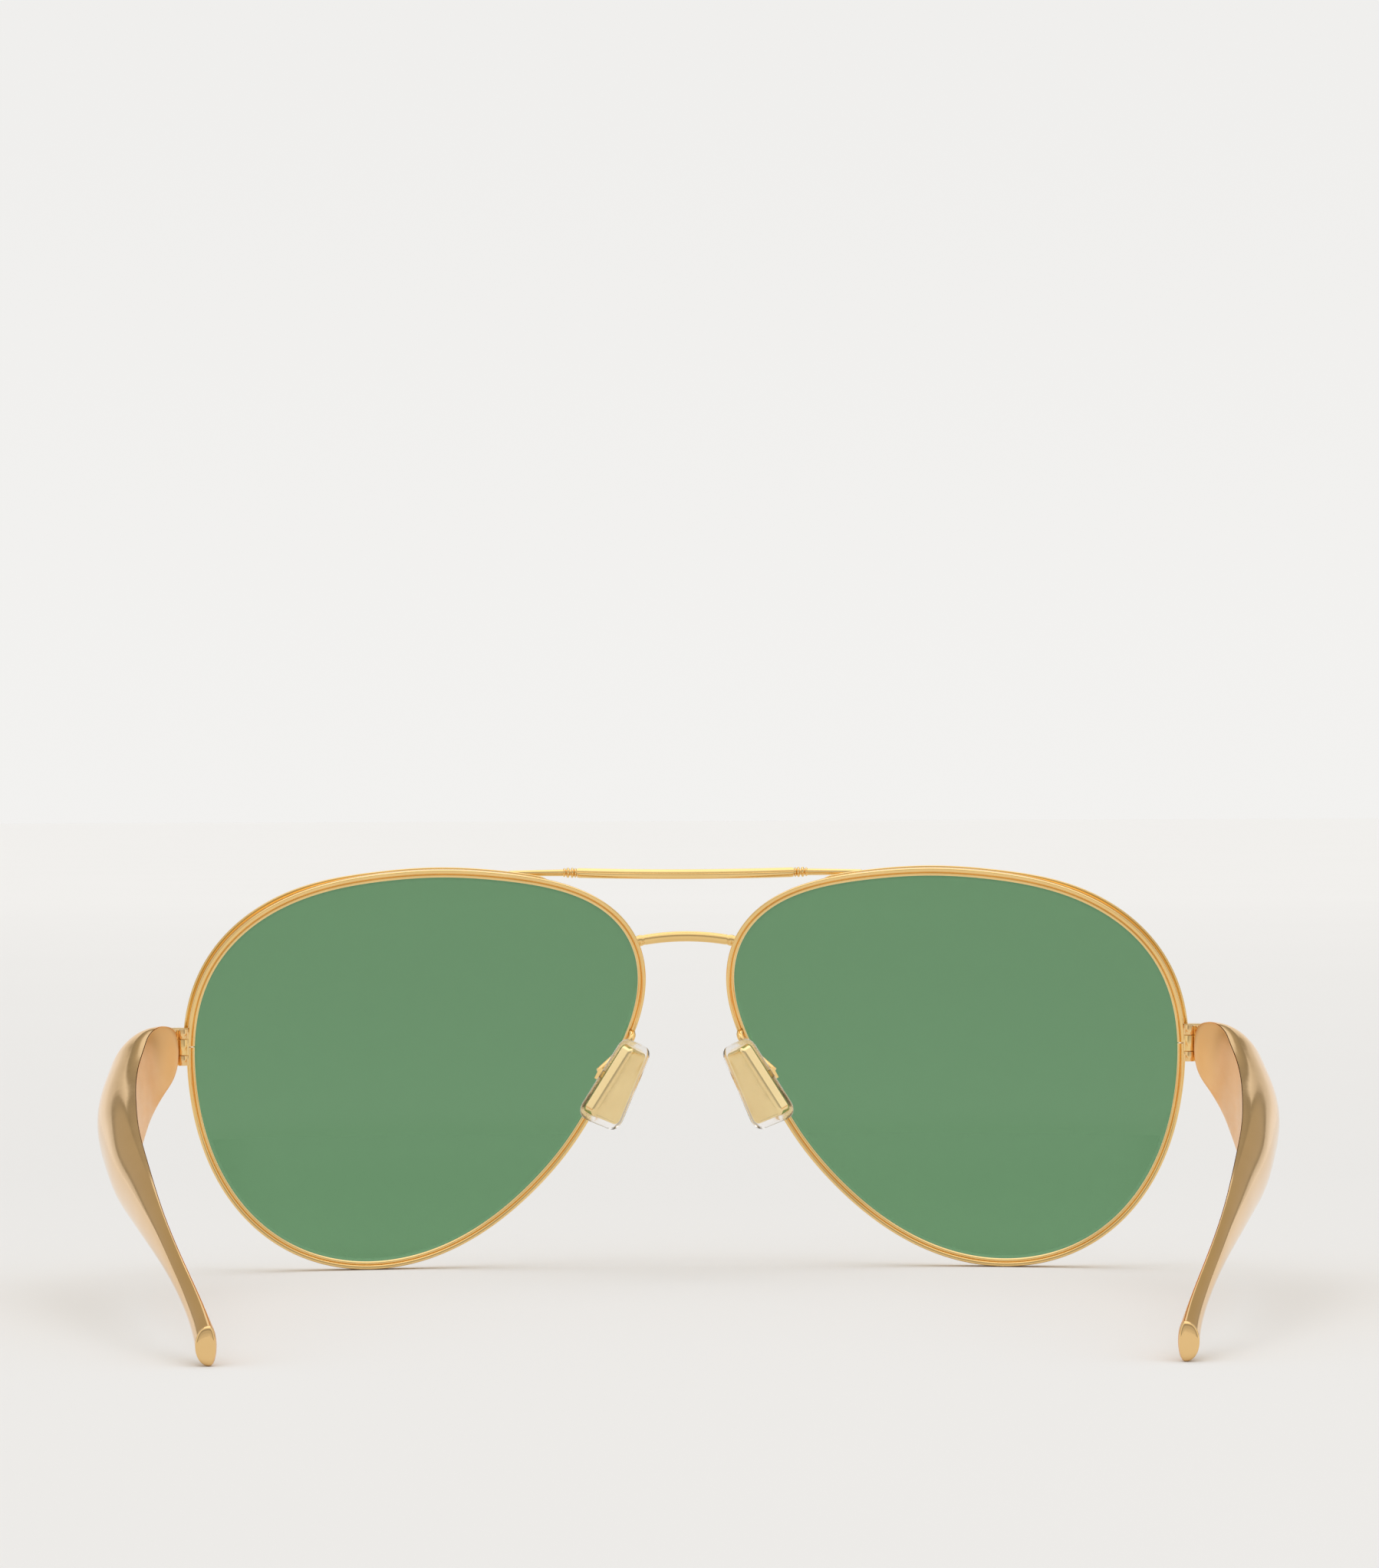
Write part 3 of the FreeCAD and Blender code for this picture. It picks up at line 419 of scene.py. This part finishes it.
# (towards the back, up): a rounded lower band, a fine groove and a sloped upper band
BAR = smooth_loop(
    [
        (0.00, -0.70), (0.26, -0.67), (0.47, -0.56), (0.60, -0.38), (0.65, -0.14), (0.625, 0.04),
        (0.53, 0.10), (0.505, 0.15),
        (0.54, 0.21), (0.45, 0.38), (0.31, 0.54), (0.16, 0.66), (-0.05, 0.70),
        (-0.28, 0.64), (-0.47, 0.52), (-0.61, 0.34), (-0.68, 0.10), (-0.68, -0.12), (-0.61, -0.35), (-0.46, -0.54), (-0.25, -0.66),
    ],
    3,
)
rings = []
for x in np.linspace(-14.38, 14.38, 97):
    c = bar_point(x)
    k = 1.0
    if abs(x) > 14.2:
        k = 0.92
    rings.append([c + np.array([0, -b * k, u * k]) * 0.935 for b, u in BAR])
v, f = loft(rings)
add_piece("brow_bar_band", v, f, "front", "frame_gold", ["brow_bar"], sharp=50)


# ------------------------------------------------------------------ collars and arms
def frame_of(d):
    d = np.array(d, float)
    d /= np.linalg.norm(d)
    a = np.cross(d, (0, 0, 1.0))
    a /= np.linalg.norm(a)
    return d, a, np.cross(a, d)


def turned(origin, direction, profile, seg=48, flat=None):
    """Lathe shape: profile of (along, radius)."""
    d, a, b = frame_of(direction)
    rings = []
    for s, r in profile:
        rings.append([np.array(origin) + d * s + (a * math.cos(q) + b * math.sin(q)) * r for q in (2 * math.pi * j / seg for j in range(seg))])
    return loft(rings)


collar_at = np.array([14.40, FY - 1.30, 52.22])
cdir = np.array([1, -0.05, 0.03])
prof = [(0.0, 0.30), (0.0, 0.42)]
for at, base, rise, reach in ((0.20, 0.42, 0.22, 0.17), (0.62, 0.40, 0.29, 0.21), (1.18, 0.40, 0.28, 0.23), (1.66, 0.38, 0.22, 0.18)):  # four beads
    for i in range(9):
        q = math.pi * i / 8
        prof.append((at - reach * math.cos(q), base + rise * math.sin(q)))
prof += [(1.88, 0.37), (1.90, 0.28)]
both("brow_collar_turned", turned(collar_at, cdir, prof, 56), "front", "frame_gold", "brow_collar_SIDE", sharp=50)

arm_a = collar_at + cdir / np.linalg.norm(cdir) * 1.70
arm_b = np.array([23.60, FY - 2.75, 52.22])
d, a, b = frame_of(arm_b - arm_a)
L = np.linalg.norm(arm_b - arm_a)
rings = []
for i in range(61):
    s = i / 60
    r = 0.470 + (0.385 - 0.470) * s
    if s > 0.94:
        u = (s - 0.94) / 0.06
        r *= math.sqrt(max(0.02, 1 - u * u))
    if s < 0.03:
        r *= 0.93 + 0.07 * s / 0.03
    c = arm_a + d * (L * s)
    rings.append([c + a * (r * math.cos(q)) + b * (r * math.sin(q) * (0.94 if math.sin(q) > 0 else 1.0)) for q in (2 * math.pi * j / 40 for j in range(40))])
both("brow_arm_taper", loft(rings), "front", "frame_gold", "brow_arm_SIDE", sharp=60)

# ------------------------------------------------------------------ bridge
rings = []
xs = np.linspace(-7.25, 7.25, 151)
for x in xs:
    u = (x / 7.35) ** 2
    c = np.array([x, FY - 1.20 - 0.85 * u, 43.75 - 0.80 * u])
    dirv = np.array([1, -2 * 0.85 * x / 54, -2 * 0.80 * x / 54])
    d, a, b = frame_of(dirv)
    r = 0.69 + 0.07 * math.exp(-(((abs(x) - 6.02) / 0.26) ** 2)) - 0.04 * math.exp(-(((abs(x) - 5.55) / 0.16) ** 2))
    rings.append([c + (a * math.cos(q) + b * math.sin(q)) * r for q in (2 * math.pi * j / 44 for j in range(44))])
v, f = loft(rings)
add_piece("bridge_wire", v, f, "front", "frame_gold", ["bridge"], sharp=60)

# ------------------------------------------------------------------ temples
SECTIONS = np.array([
    (12.20, 67.05, 1.65, 0.55, 31.85, 27.25, 0.50),
    (12.80, 67.12, 2.20, 0.80, 32.10, 26.35, 0.50),
    (15.00, 68.07, 3.90, 1.00, 32.65, 23.95, 0.50),
    (18.50, 69.35, 4.75, 0.90, 32.05, 21.30, 0.49),
    (23.50, 69.70, 4.88, 0.62, 30.68, 19.30, 0.47),
    (31.00, 69.75, 4.94, 0.35, 28.70, 17.00, 0.46),
    (40.00, 69.32, 4.80, 0.16, 26.62, 14.85, 0.45),
    (50.00, 68.36, 4.18, 0.12, 24.55, 13.22, 0.44),
    (60.00, 67.15, 3.50, 0.12, 22.34, 11.98, 0.44),
    (72.00, 65.20, 2.65, 0.12, 19.70, 10.90, 0.44),
    (84.00, 63.06, 1.82, 0.14, 16.96, 9.80, 0.45),
    (95.00, 60.82, 1.18, 0.18, 13.95, 8.50, 0.46),
    (105.00, 58.32, 1.02, 0.24, 10.72, 6.55, 0.48),
    (114.00, 55.85, 1.10, 0.36, 7.68, 3.78, 0.50),
    (120.50, 54.22, 1.36, 0.52, 5.68, 1.52, 0.50),
    (125.00, 53.26, 1.58, 0.72, 4.42, 0.00, 0.50),
])


def cubic(xs, ys, x):
    """Natural cubic spline through the sections."""
    n = len(xs)
    h = np.diff(xs)
    A = np.zeros((n, n))
    r = np.zeros(n)
    A[0, 0] = A[-1, -1] = 1
    for i in range(1, n - 1):
        A[i, i - 1], A[i, i], A[i, i + 1] = h[i - 1], 2 * (h[i - 1] + h[i]), h[i]
        r[i] = 6 * ((ys[i + 1] - ys[i]) / h[i] - (ys[i] - ys[i - 1]) / h[i - 1])
    m = np.linalg.solve(A, r)
    i = np.clip(np.searchsorted(xs, x) - 1, 0, n - 2)
    a, b, hh = xs[i + 1] - x, x - xs[i], h[i]
    return m[i] * a ** 3 / (6 * hh) + m[i + 1] * b ** 3 / (6 * hh) + (ys[i] / hh - m[i] * hh / 6) * a + (ys[i + 1] / hh - m[i + 1] * hh / 6) * b


# sections are a chord length apart, so the spline runs along the temple and not along Y
chord = np.concatenate([[0], np.cumsum(np.linalg.norm(np.diff(SECTIONS[:, [0, 1, 4]] * [1, 1, 0.5], axis=0), axis=1))])


def temple_section(par, n_out=44, n_in=28, grow=0.0):
    d, xf, out, inw, zt, zb, mid = [float(cubic(chord, SECTIONS[:, c], np.array([par]))[0]) for c in range(7)]
    zm = zt - (zt - zb) * mid
    pts = []
    for j in range(n_out + 1):
        a = math.pi * j / n_out
        z = zm + (zt - zm) * math.cos(a) if a <= math.pi / 2 else zm + (zm - zb) * math.cos(a)
        pts.append((xf + max(0.0, out) * math.sin(a) ** 0.92 if 0 < j < n_out else xf, z))
    for j in range(1, n_in):
        a = math.pi * j / n_in
        z = zb + (zt - zb) * (1 - math.cos(a)) / 2
        pts.append((xf - max(0.02, inw) * math.sin(a), z))
    return d, np.array(pts)


# two half shells, closed along the face line: the outer one bulges, the inner one is nearly flat
N_OUT, N_IN = 44, 28


def half_shell(inner):
    stations = np.concatenate([np.linspace(0, chord[3], 46, endpoint=False), np.linspace(chord[3], chord[-1], 110)])
    rings = []
    for i, par in enumerate(stations):
        d, pts = temple_section(par, N_OUT, N_IN)
        low, top = pts[N_OUT], pts[0]
        if inner:
            arc = [low] + list(pts[N_OUT + 1:]) + [top]
            arc = np.array([(x - 0.02 - 0.05 * math.exp(-((z - top[1]) / 0.10) ** 2), z + (low[1] - z) * 0 - (0.06 if k == len(arc) - 1 else 0)) for k, (x, z) in enumerate(arc)])
            wall = [top + (low - top) * q - np.array([0.015, 0.0]) for q in np.linspace(0.04, 0.96, 12)]
        else:
            arc = pts[: N_OUT + 1]
            wall = [low + (top - low) * q for q in np.linspace(0.04, 0.96, 12)]
        loop = np.concatenate([arc, np.array(wall)])
        if i == 0:  # rounded front end
            c = loop.mean(0)
            for k, back in ((0.02, 0.0), (0.55, 0.0), (0.86, 0.03), (0.96, 0.10)):
                rings.append([np.array([p[0], FY - d - back, p[1]]) for p in c + (loop - c) * k])
            rings.append([np.array([p[0], FY - d - 0.22, p[1]]) for p in loop])
            continue
        if d < 12.50:
            continue
        rings.append([np.array([p[0], FY - d, p[1]]) for p in loop])
    return loft(rings)


both("temple_outer_shell", half_shell(False), "SIDE_temple", "temple_gold", "temple_SIDE", sharp=50)
for ob in both("temple_inner_shell", half_shell(True), "SIDE_temple", "temple_gold", "temple_SIDE", sharp=50):
    ob.data.materials[0] = m_inner_painted_tone

# tip cap: a fine joint, a small lip, then a shallow dome
d, pts = temple_section(chord[-1])
c = np.array([(pts[:, 0].min() + pts[:, 0].max()) / 2, (pts[:, 1].min() + pts[:, 1].max()) / 2])
rings = []
for k, back in ((0.50, -0.30), (0.90, -0.02), (0.915, 0.04), (0.97, 0.07), (0.995, 0.12), (1.0, 0.20), (0.998, 0.36), (0.990, 0.50), (0.970, 0.62), (0.935, 0.71), (0.88, 0.78), (0.78, 0.83), (0.62, 0.865), (0.42, 0.885), (0.20, 0.897), (0.04, 0.90)):
    rings.append([np.array([p[0], FY - d - back, max(p[1], 0.0)]) for p in c + (pts - c) * k])
both("temple_tip_cap", loft(rings), "SIDE_temple", "temple_gold", "temple_tip_SIDE", sharp=None)

# ------------------------------------------------------------------ nose pads
la = np.array([0.461, 0, -0.887])
la /= np.linalg.norm(la)
wa = np.array([0.5, -0.826, 0.26])
wa -= la * wa.dot(la)
wa /= np.linalg.norm(wa)
na = np.cross(wa, la)
PAD_AT = np.array([9.10, FY - 8.00, 24.60])


def pad_row(x, y, z):
    return PAD_AT + wa * x - la * y - na * z


def kite(half, top_w, low_w, corner, n=18):
    """Rounded trapezoid, counter-clockwise, with the same number of points at any size."""
    corners = [(-top_w / 2, half), (-low_w / 2, -half), (low_w / 2, -half), (top_w / 2, half)]
    out = []
    for i in range(4):
        p0, p1, p2 = (np.array(corners[(i + k) % 4], float) for k in (-1, 0, 1))
        u, w = (p0 - p1) / np.linalg.norm(p0 - p1), (p2 - p1) / np.linalg.norm(p2 - p1)
        ang = math.acos(float(u @ w)) / 2
        run = corner / math.tan(ang)
        centre = p1 + (u + w) / np.linalg.norm(u + w) * (corner / math.sin(ang))
        a0 = math.atan2(*(p1 + u * run - centre)[::-1])
        a1 = math.atan2(*(p1 + w * run - centre)[::-1])
        da = (a1 - a0 + math.pi) % (2 * math.pi) - math.pi
        for k in range(n + 1):
            q = a0 + da * k / n
            out.append(centre + corner * np.array([math.cos(q), math.sin(q)]))
    return np.array(out)


def pillow(half, top_w, low_w, corner, thick, rnd, crown=0.0, dish=0.0, steps=8):
    """Rounded plate: rings over the back face, round the edge and over the contact face (+z)."""
    rings = []
    t = thick / 2

    def ring(inset, z):
        pts = kite(half - inset, top_w - 2 * inset, low_w - 2 * inset, max(0.12, corner - inset * 0.85))
        return [(p[0], p[1], z) for p in pts]

    def disc(sign):
        out = []
        for s in (0.02, 0.18, 0.36, 0.54, 0.70, 0.83, 0.92):
            pts = kite(half - rnd, top_w - 2 * rnd, low_w - 2 * rnd, max(0.12, corner - rnd * 0.85)) * s
            lift = crown * (1 - s * s)
            out.append([(p[0], p[1], sign * (t + lift if sign < 0 else t + crown * (1 - s * s) - dish * (1 - s ** 4))) for p in pts])
        return out

    rings += disc(-1)
    for i in range(steps + 1):
        q = math.pi / 2 * i / steps
        rings.append(ring(rnd * (1 - math.sin(q)), -(t - rnd) - rnd * math.cos(q)))
    for i in range(steps + 1):
        q = math.pi / 2 * i / steps
        rings.append(ring(rnd * (1 - math.cos(q)), (t - rnd) + rnd * math.sin(q)))
    rings += disc(1)[::-1]
    return [[pad_row(*p) for p in r] for r in rings]


for ob in both("nose_pad_soft", loft(pillow(5.97, 5.36, 8.54, 1.55, 2.50, 0.95, crown=0.04)), "SIDE_pad", "clear_silicone", "nose_pad_SIDE", sharp=60):
    ob.visible_shadow = False

# plate with a raised border, and the stem that the screw passes through
core_v, core_f = loft(pillow(5.05, 3.85, 6.85, 0.80, 1.62, 0.42, crown=0.0, dish=0.04, steps=7))


def local_block(x0, x1, y0, y1, z0, z1, r):
    base = rounded_rect(x1 - x0, y1 - y0, r, 4) + [(x0 + x1) / 2, (y0 + y1) / 2]
    c = base.mean(0)
    rings = []
    for k, z in ((0.5, z0), (0.90, z0), (1.0, z0 + 0.08), (1.0, z1 - 0.08), (0.90, z1), (0.5, z1)):
        rings.append([pad_row(p[0], p[1], z) for p in c + (base - c) * k])
    return loft(rings)


stem_v, stem_f = local_block(-0.38, 0.38, -0.53, 0.53, -2.57, -0.70, 0.24)
v = np.concatenate([core_v, stem_v])
f = core_f + [tuple(i + len(core_v) for i in q) for q in stem_f]
both("pad_plate", (v, f), "SIDE_pad", "core_gold", "pad_core_SIDE", sharp=40)


# ------------------------------------------------------------------ small hardware from the fixed frame
def eased(node, slot, width=0.07, seg=2, weld=2e-6, angle=32, name=None):
    """The CAD part with its edges eased, as a piece of its own."""
    src = NODES[node]
    bm = bmesh.new()
    bm.from_mesh(src.data)
    bmesh.ops.remove_doubles(bm, verts=bm.verts, dist=weld)
    bmesh.ops.dissolve_limit(bm, angle_limit=math.radians(1.0), verts=bm.verts, edges=bm.edges)
    bmesh.ops.recalc_face_normals(bm, faces=bm.faces)
    edges = [e for e in bm.edges if len(e.link_faces) == 2 and e.calc_face_angle(0) > math.radians(angle)]
    bmesh.ops.bevel(bm, geom=edges, offset=width * MM, offset_type="OFFSET", segments=seg, profile=0.6, affect="EDGES", clamp_overlap=True)
    me = bpy.data.meshes.new(node + "_eased")
    bm.to_mesh(me)
    bm.free()
    me.materials.append(SLOT_MAT[slot])
    for poly in me.polygons:
        poly.use_smooth = True
    ob = bpy.data.objects.new(name or node + "_eased", me)
    bpy.context.scene.collection.objects.link(ob)
    me.set_sharp_from_angle(angle=math.radians(30))
    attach(ob, src["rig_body"])
    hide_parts(node)
    return ob


for side in ("right", "left"):
    eased(f"end_piece_{side}", "frame_gold", 0.10)
    eased(f"closing_block_{side}", "frame_gold", 0.10)
    eased(f"temple_hinge_{side}", "temple_gold", 0.09)
    eased(f"hinge_screw_{side}", "screw_gold", 0.04)
    eased(f"closing_screw_{side}", "screw_gold", 0.04)
    eased(f"pad_box_{side}", "frame_gold", 0.07)
    eased(f"pad_screw_{side}", "screw_gold", 0.05)
    eased(f"pad_arm_{side}", "frame_gold", 0.05, angle=60)

for o in NODES.values():
    if not o.hide_render:
        o.data.materials.clear()
        o.data.materials.append(m_frame)

# ------------------------------------------------------------------ stage: floor, world and lights
fm, nt, p = new_material("pale_floor")
f_co = nt.nodes.new("ShaderNodeTexCoord")
f_xyz = nt.nodes.new("ShaderNodeSeparateXYZ")
nt.links.new(f_co.outputs["Object"], f_xyz.inputs[0])
# pale table with painted light falloff in its colour: a little lighter far in front, a slight painted darker dip just
# behind the glasses, and painted shade fading to the darker end of the room behind the camera
tone = ramp(
    nt, remap(nt, f_xyz.outputs[1], 0, 1, -3.0, 3.0),
    [(0.10, (0.715, 0.705, 0.690)), (0.333, (0.730, 0.722, 0.710)), (0.445, (0.854, 0.849, 0.841)), (0.50, (0.850, 0.845, 0.837)), (0.54, (0.830, 0.826, 0.819)), (0.70, (0.850, 0.846, 0.838)), (1.0, (0.889, 0.885, 0.877))],
)
fleck = nt.nodes.new("ShaderNodeMix")
fleck.data_type = "RGBA"
fleck.blend_type = "MULTIPLY"
fleck.inputs["Factor"].default_value = 1.0
nt.links.new(tone, fleck.inputs[6])
nt.links.new(ramp(nt, noise(nt, 3, 4), [(0.3, (0.992, 0.992, 0.992)), (0.7, (1.0, 1.0, 1.0))]), fleck.inputs[7])
nt.links.new(fleck.outputs[2], p.inputs["Base Color"])
p.inputs["Roughness"].default_value = 0.9
p.inputs["Specular IOR Level"].default_value = 0.0
me = bpy.data.meshes.new("floor")
ring_pts, ring_faces = [(0, 0, 0)], []
for r in (1, 4, 40):
    for j in range(64):
        q = 2 * math.pi * j / 64
        ring_pts.append((r * math.cos(q), r * math.sin(q), 0))
for j in range(64):
    k = (j + 1) % 64
    ring_faces.append((0, 1 + j, 1 + k))
    for s in (0, 1):
        a0 = 1 + 64 * s
        ring_faces.append((a0 + j, a0 + 64 + j, a0 + 64 + k, a0 + k))
me.from_pydata([(x, y, cad_low.z - 0.00002) for x, y, _ in ring_pts], [], ring_faces)
me.materials.append(fm)
floor = bpy.data.objects.new("floor", me)
bpy.context.scene.collection.objects.link(floor)

world = bpy.data.worlds.new("studio")
bpy.context.scene.world = world
world.use_nodes = True
nt = world.node_tree
nt.nodes.clear()
w_out = nt.nodes.new("ShaderNodeOutputWorld")
w_bg = nt.nodes.new("ShaderNodeBackground")
nt.links.new(w_bg.outputs[0], w_out.inputs[0])
co = nt.nodes.new("ShaderNodeTexCoord")
sep = nt.nodes.new("ShaderNodeSeparateXYZ")
nt.links.new(co.outputs["Generated"], sep.inputs[0])


def math_node(op, a, b=None, clamp=False):
    n = nt.nodes.new("ShaderNodeMath")
    n.operation = op
    n.use_clamp = clamp
    for i, v in enumerate((a, b)):
        if v is None:
            continue
        if isinstance(v, (int, float)):
            n.inputs[i].default_value = v
        else:
            nt.links.new(v, n.inputs[i])
    return n.outputs[0]


def step(v, a, b):
    r = nt.nodes.new("ShaderNodeMapRange")
    r.interpolation_type = "SMOOTHSTEP"
    r.inputs["From Min"].default_value = a
    r.inputs["From Max"].default_value = b
    nt.links.new(v, r.inputs["Value"])
    return r.outputs[0]


def mix(fac, a, b):
    n = nt.nodes.new("ShaderNodeMix")
    n.data_type = "RGBA"
    nt.links.new(fac, n.inputs["Factor"])
    for i, v in ((6, a), (7, b)):
        if isinstance(v, tuple):
            n.inputs[i].default_value = (*v, 1)
        else:
            nt.links.new(v, n.inputs[i])
    return n.outputs[2]


X, Y, Z = sep.outputs
sky = mix(step(Z, 0.0, 0.16), (0.893, 0.885, 0.869), (0.871, 0.863, 0.848))
sky = mix(step(Z, 0.16, 0.80), sky, (0.96, 0.95, 0.935))
# a darker part of the room behind the camera, with the softer light of a far wall in it
back = math_node("MULTIPLY", step(Y, -0.52, -0.60), step(math_node("ABSOLUTE", Z), 0.62, 0.55))
wall = math_node("MULTIPLY", step(Y, -0.80, -0.88), step(Z, 0.30, 0.22))
room = mix(wall, (0.42, 0.41, 0.40), mix(step(Z, 0.0, 0.13), (0.72, 0.705, 0.69), (0.60, 0.585, 0.57)))
# a tall dark panel on each side in front of the glasses, which the outer sides of the temples mirror
side_az = math_node("ARCTAN2", math_node("ABSOLUTE", X), Y)
elev = math_node("ARCSINE", Z)
D = math.radians
low_edge = math_node("MINIMUM", math_node("SUBTRACT", D(52.5), math_node("MULTIPLY", side_az, 1.75)), D(24.5))
in_low = step(math_node("SUBTRACT", elev, low_edge), D(-0.2), D(1.2))
top_edge = math_node("ADD", D(31.0), math_node("MULTIPLY", step(side_az, D(11), D(18)), D(15.0)))
in_top = step(math_node("SUBTRACT", elev, top_edge), D(0.5), D(-0.5))
in_in = step(side_az, D(4.5), D(6.0))
in_out = step(side_az, D(47.0), D(43.0))
panel = math_node("MULTIPLY", math_node("MULTIPLY", in_low, in_top), math_node("MULTIPLY", in_in, in_out))
panel_tone = mix(step(math_node("SUBTRACT", elev, low_edge), D(1.5), D(6.5)), (0.325, 0.300, 0.238), (0.460, 0.420, 0.335))
# beyond it the side wall is a little greyer than the front
side_wall = math_node("MULTIPLY", math_node("MULTIPLY", step(side_az, D(44.0), D(46.0)), step(side_az, D(80), D(70))), math_node("MULTIPLY", step(elev, D(-1), D(3)), step(elev, D(60), D(48))))
sky = mix(side_wall, sky, (0.70, 0.69, 0.68))
# and the light falls off softly towards the lower edge of the panel
halo = math_node("MULTIPLY", math_node("MULTIPLY", step(math_node("SUBTRACT", elev, low_edge), D(-11), D(-0.5)), in_top), math_node("MULTIPLY", step(side_az, D(12.0), D(17.0)), in_out))
sky = mix(math_node("MULTIPLY", halo, 0.45), sky, (0.42, 0.38, 0.30))
sky = mix(panel, sky, panel_tone)
nt.links.new(mix(back, sky, room), w_bg.inputs[0])
w_bg.inputs[1].default_value = 1.0

sun = bpy.data.objects.new("overhead", bpy.data.lights.new("overhead", "SUN"))
sun.data.energy = 0.55
sun.data.angle = math.radians(70)
sun.rotation_euler = (math.radians(-12), 0, 0)
bpy.context.scene.collection.objects.link(sun)

# ------------------------------------------------------------------ camera
cam_data = bpy.data.cameras.new("camera")
cam_data.sensor_width = 36.0
cam_data.sensor_fit = "AUTO"
cam_data.lens = 6860 / 2044 * 36
cam_data.clip_start = 0.01
cam_data.clip_end = 200
cam = bpy.data.objects.new("camera", cam_data)
cam.location = (-0.00657, -0.637426, 0.0601)
yaw, pitch = math.atan((899 - 828.6) / 6860), math.atan((1060 - 1022) / 6860)
look = Vector((math.sin(yaw) * math.cos(pitch), math.cos(yaw) * math.cos(pitch), math.sin(pitch)))
cam.rotation_mode = "QUATERNION"
cam.rotation_quaternion = look.to_track_quat("-Z", "Y") @ Quaternion((0, 0, 1), math.radians(-0.22))
bpy.context.scene.collection.objects.link(cam)
bpy.context.scene.camera = cam

bpy.context.scene.view_settings.view_transform = "Standard"
bpy.context.scene.view_settings.look = "None"

bpy.context.view_layer.update()
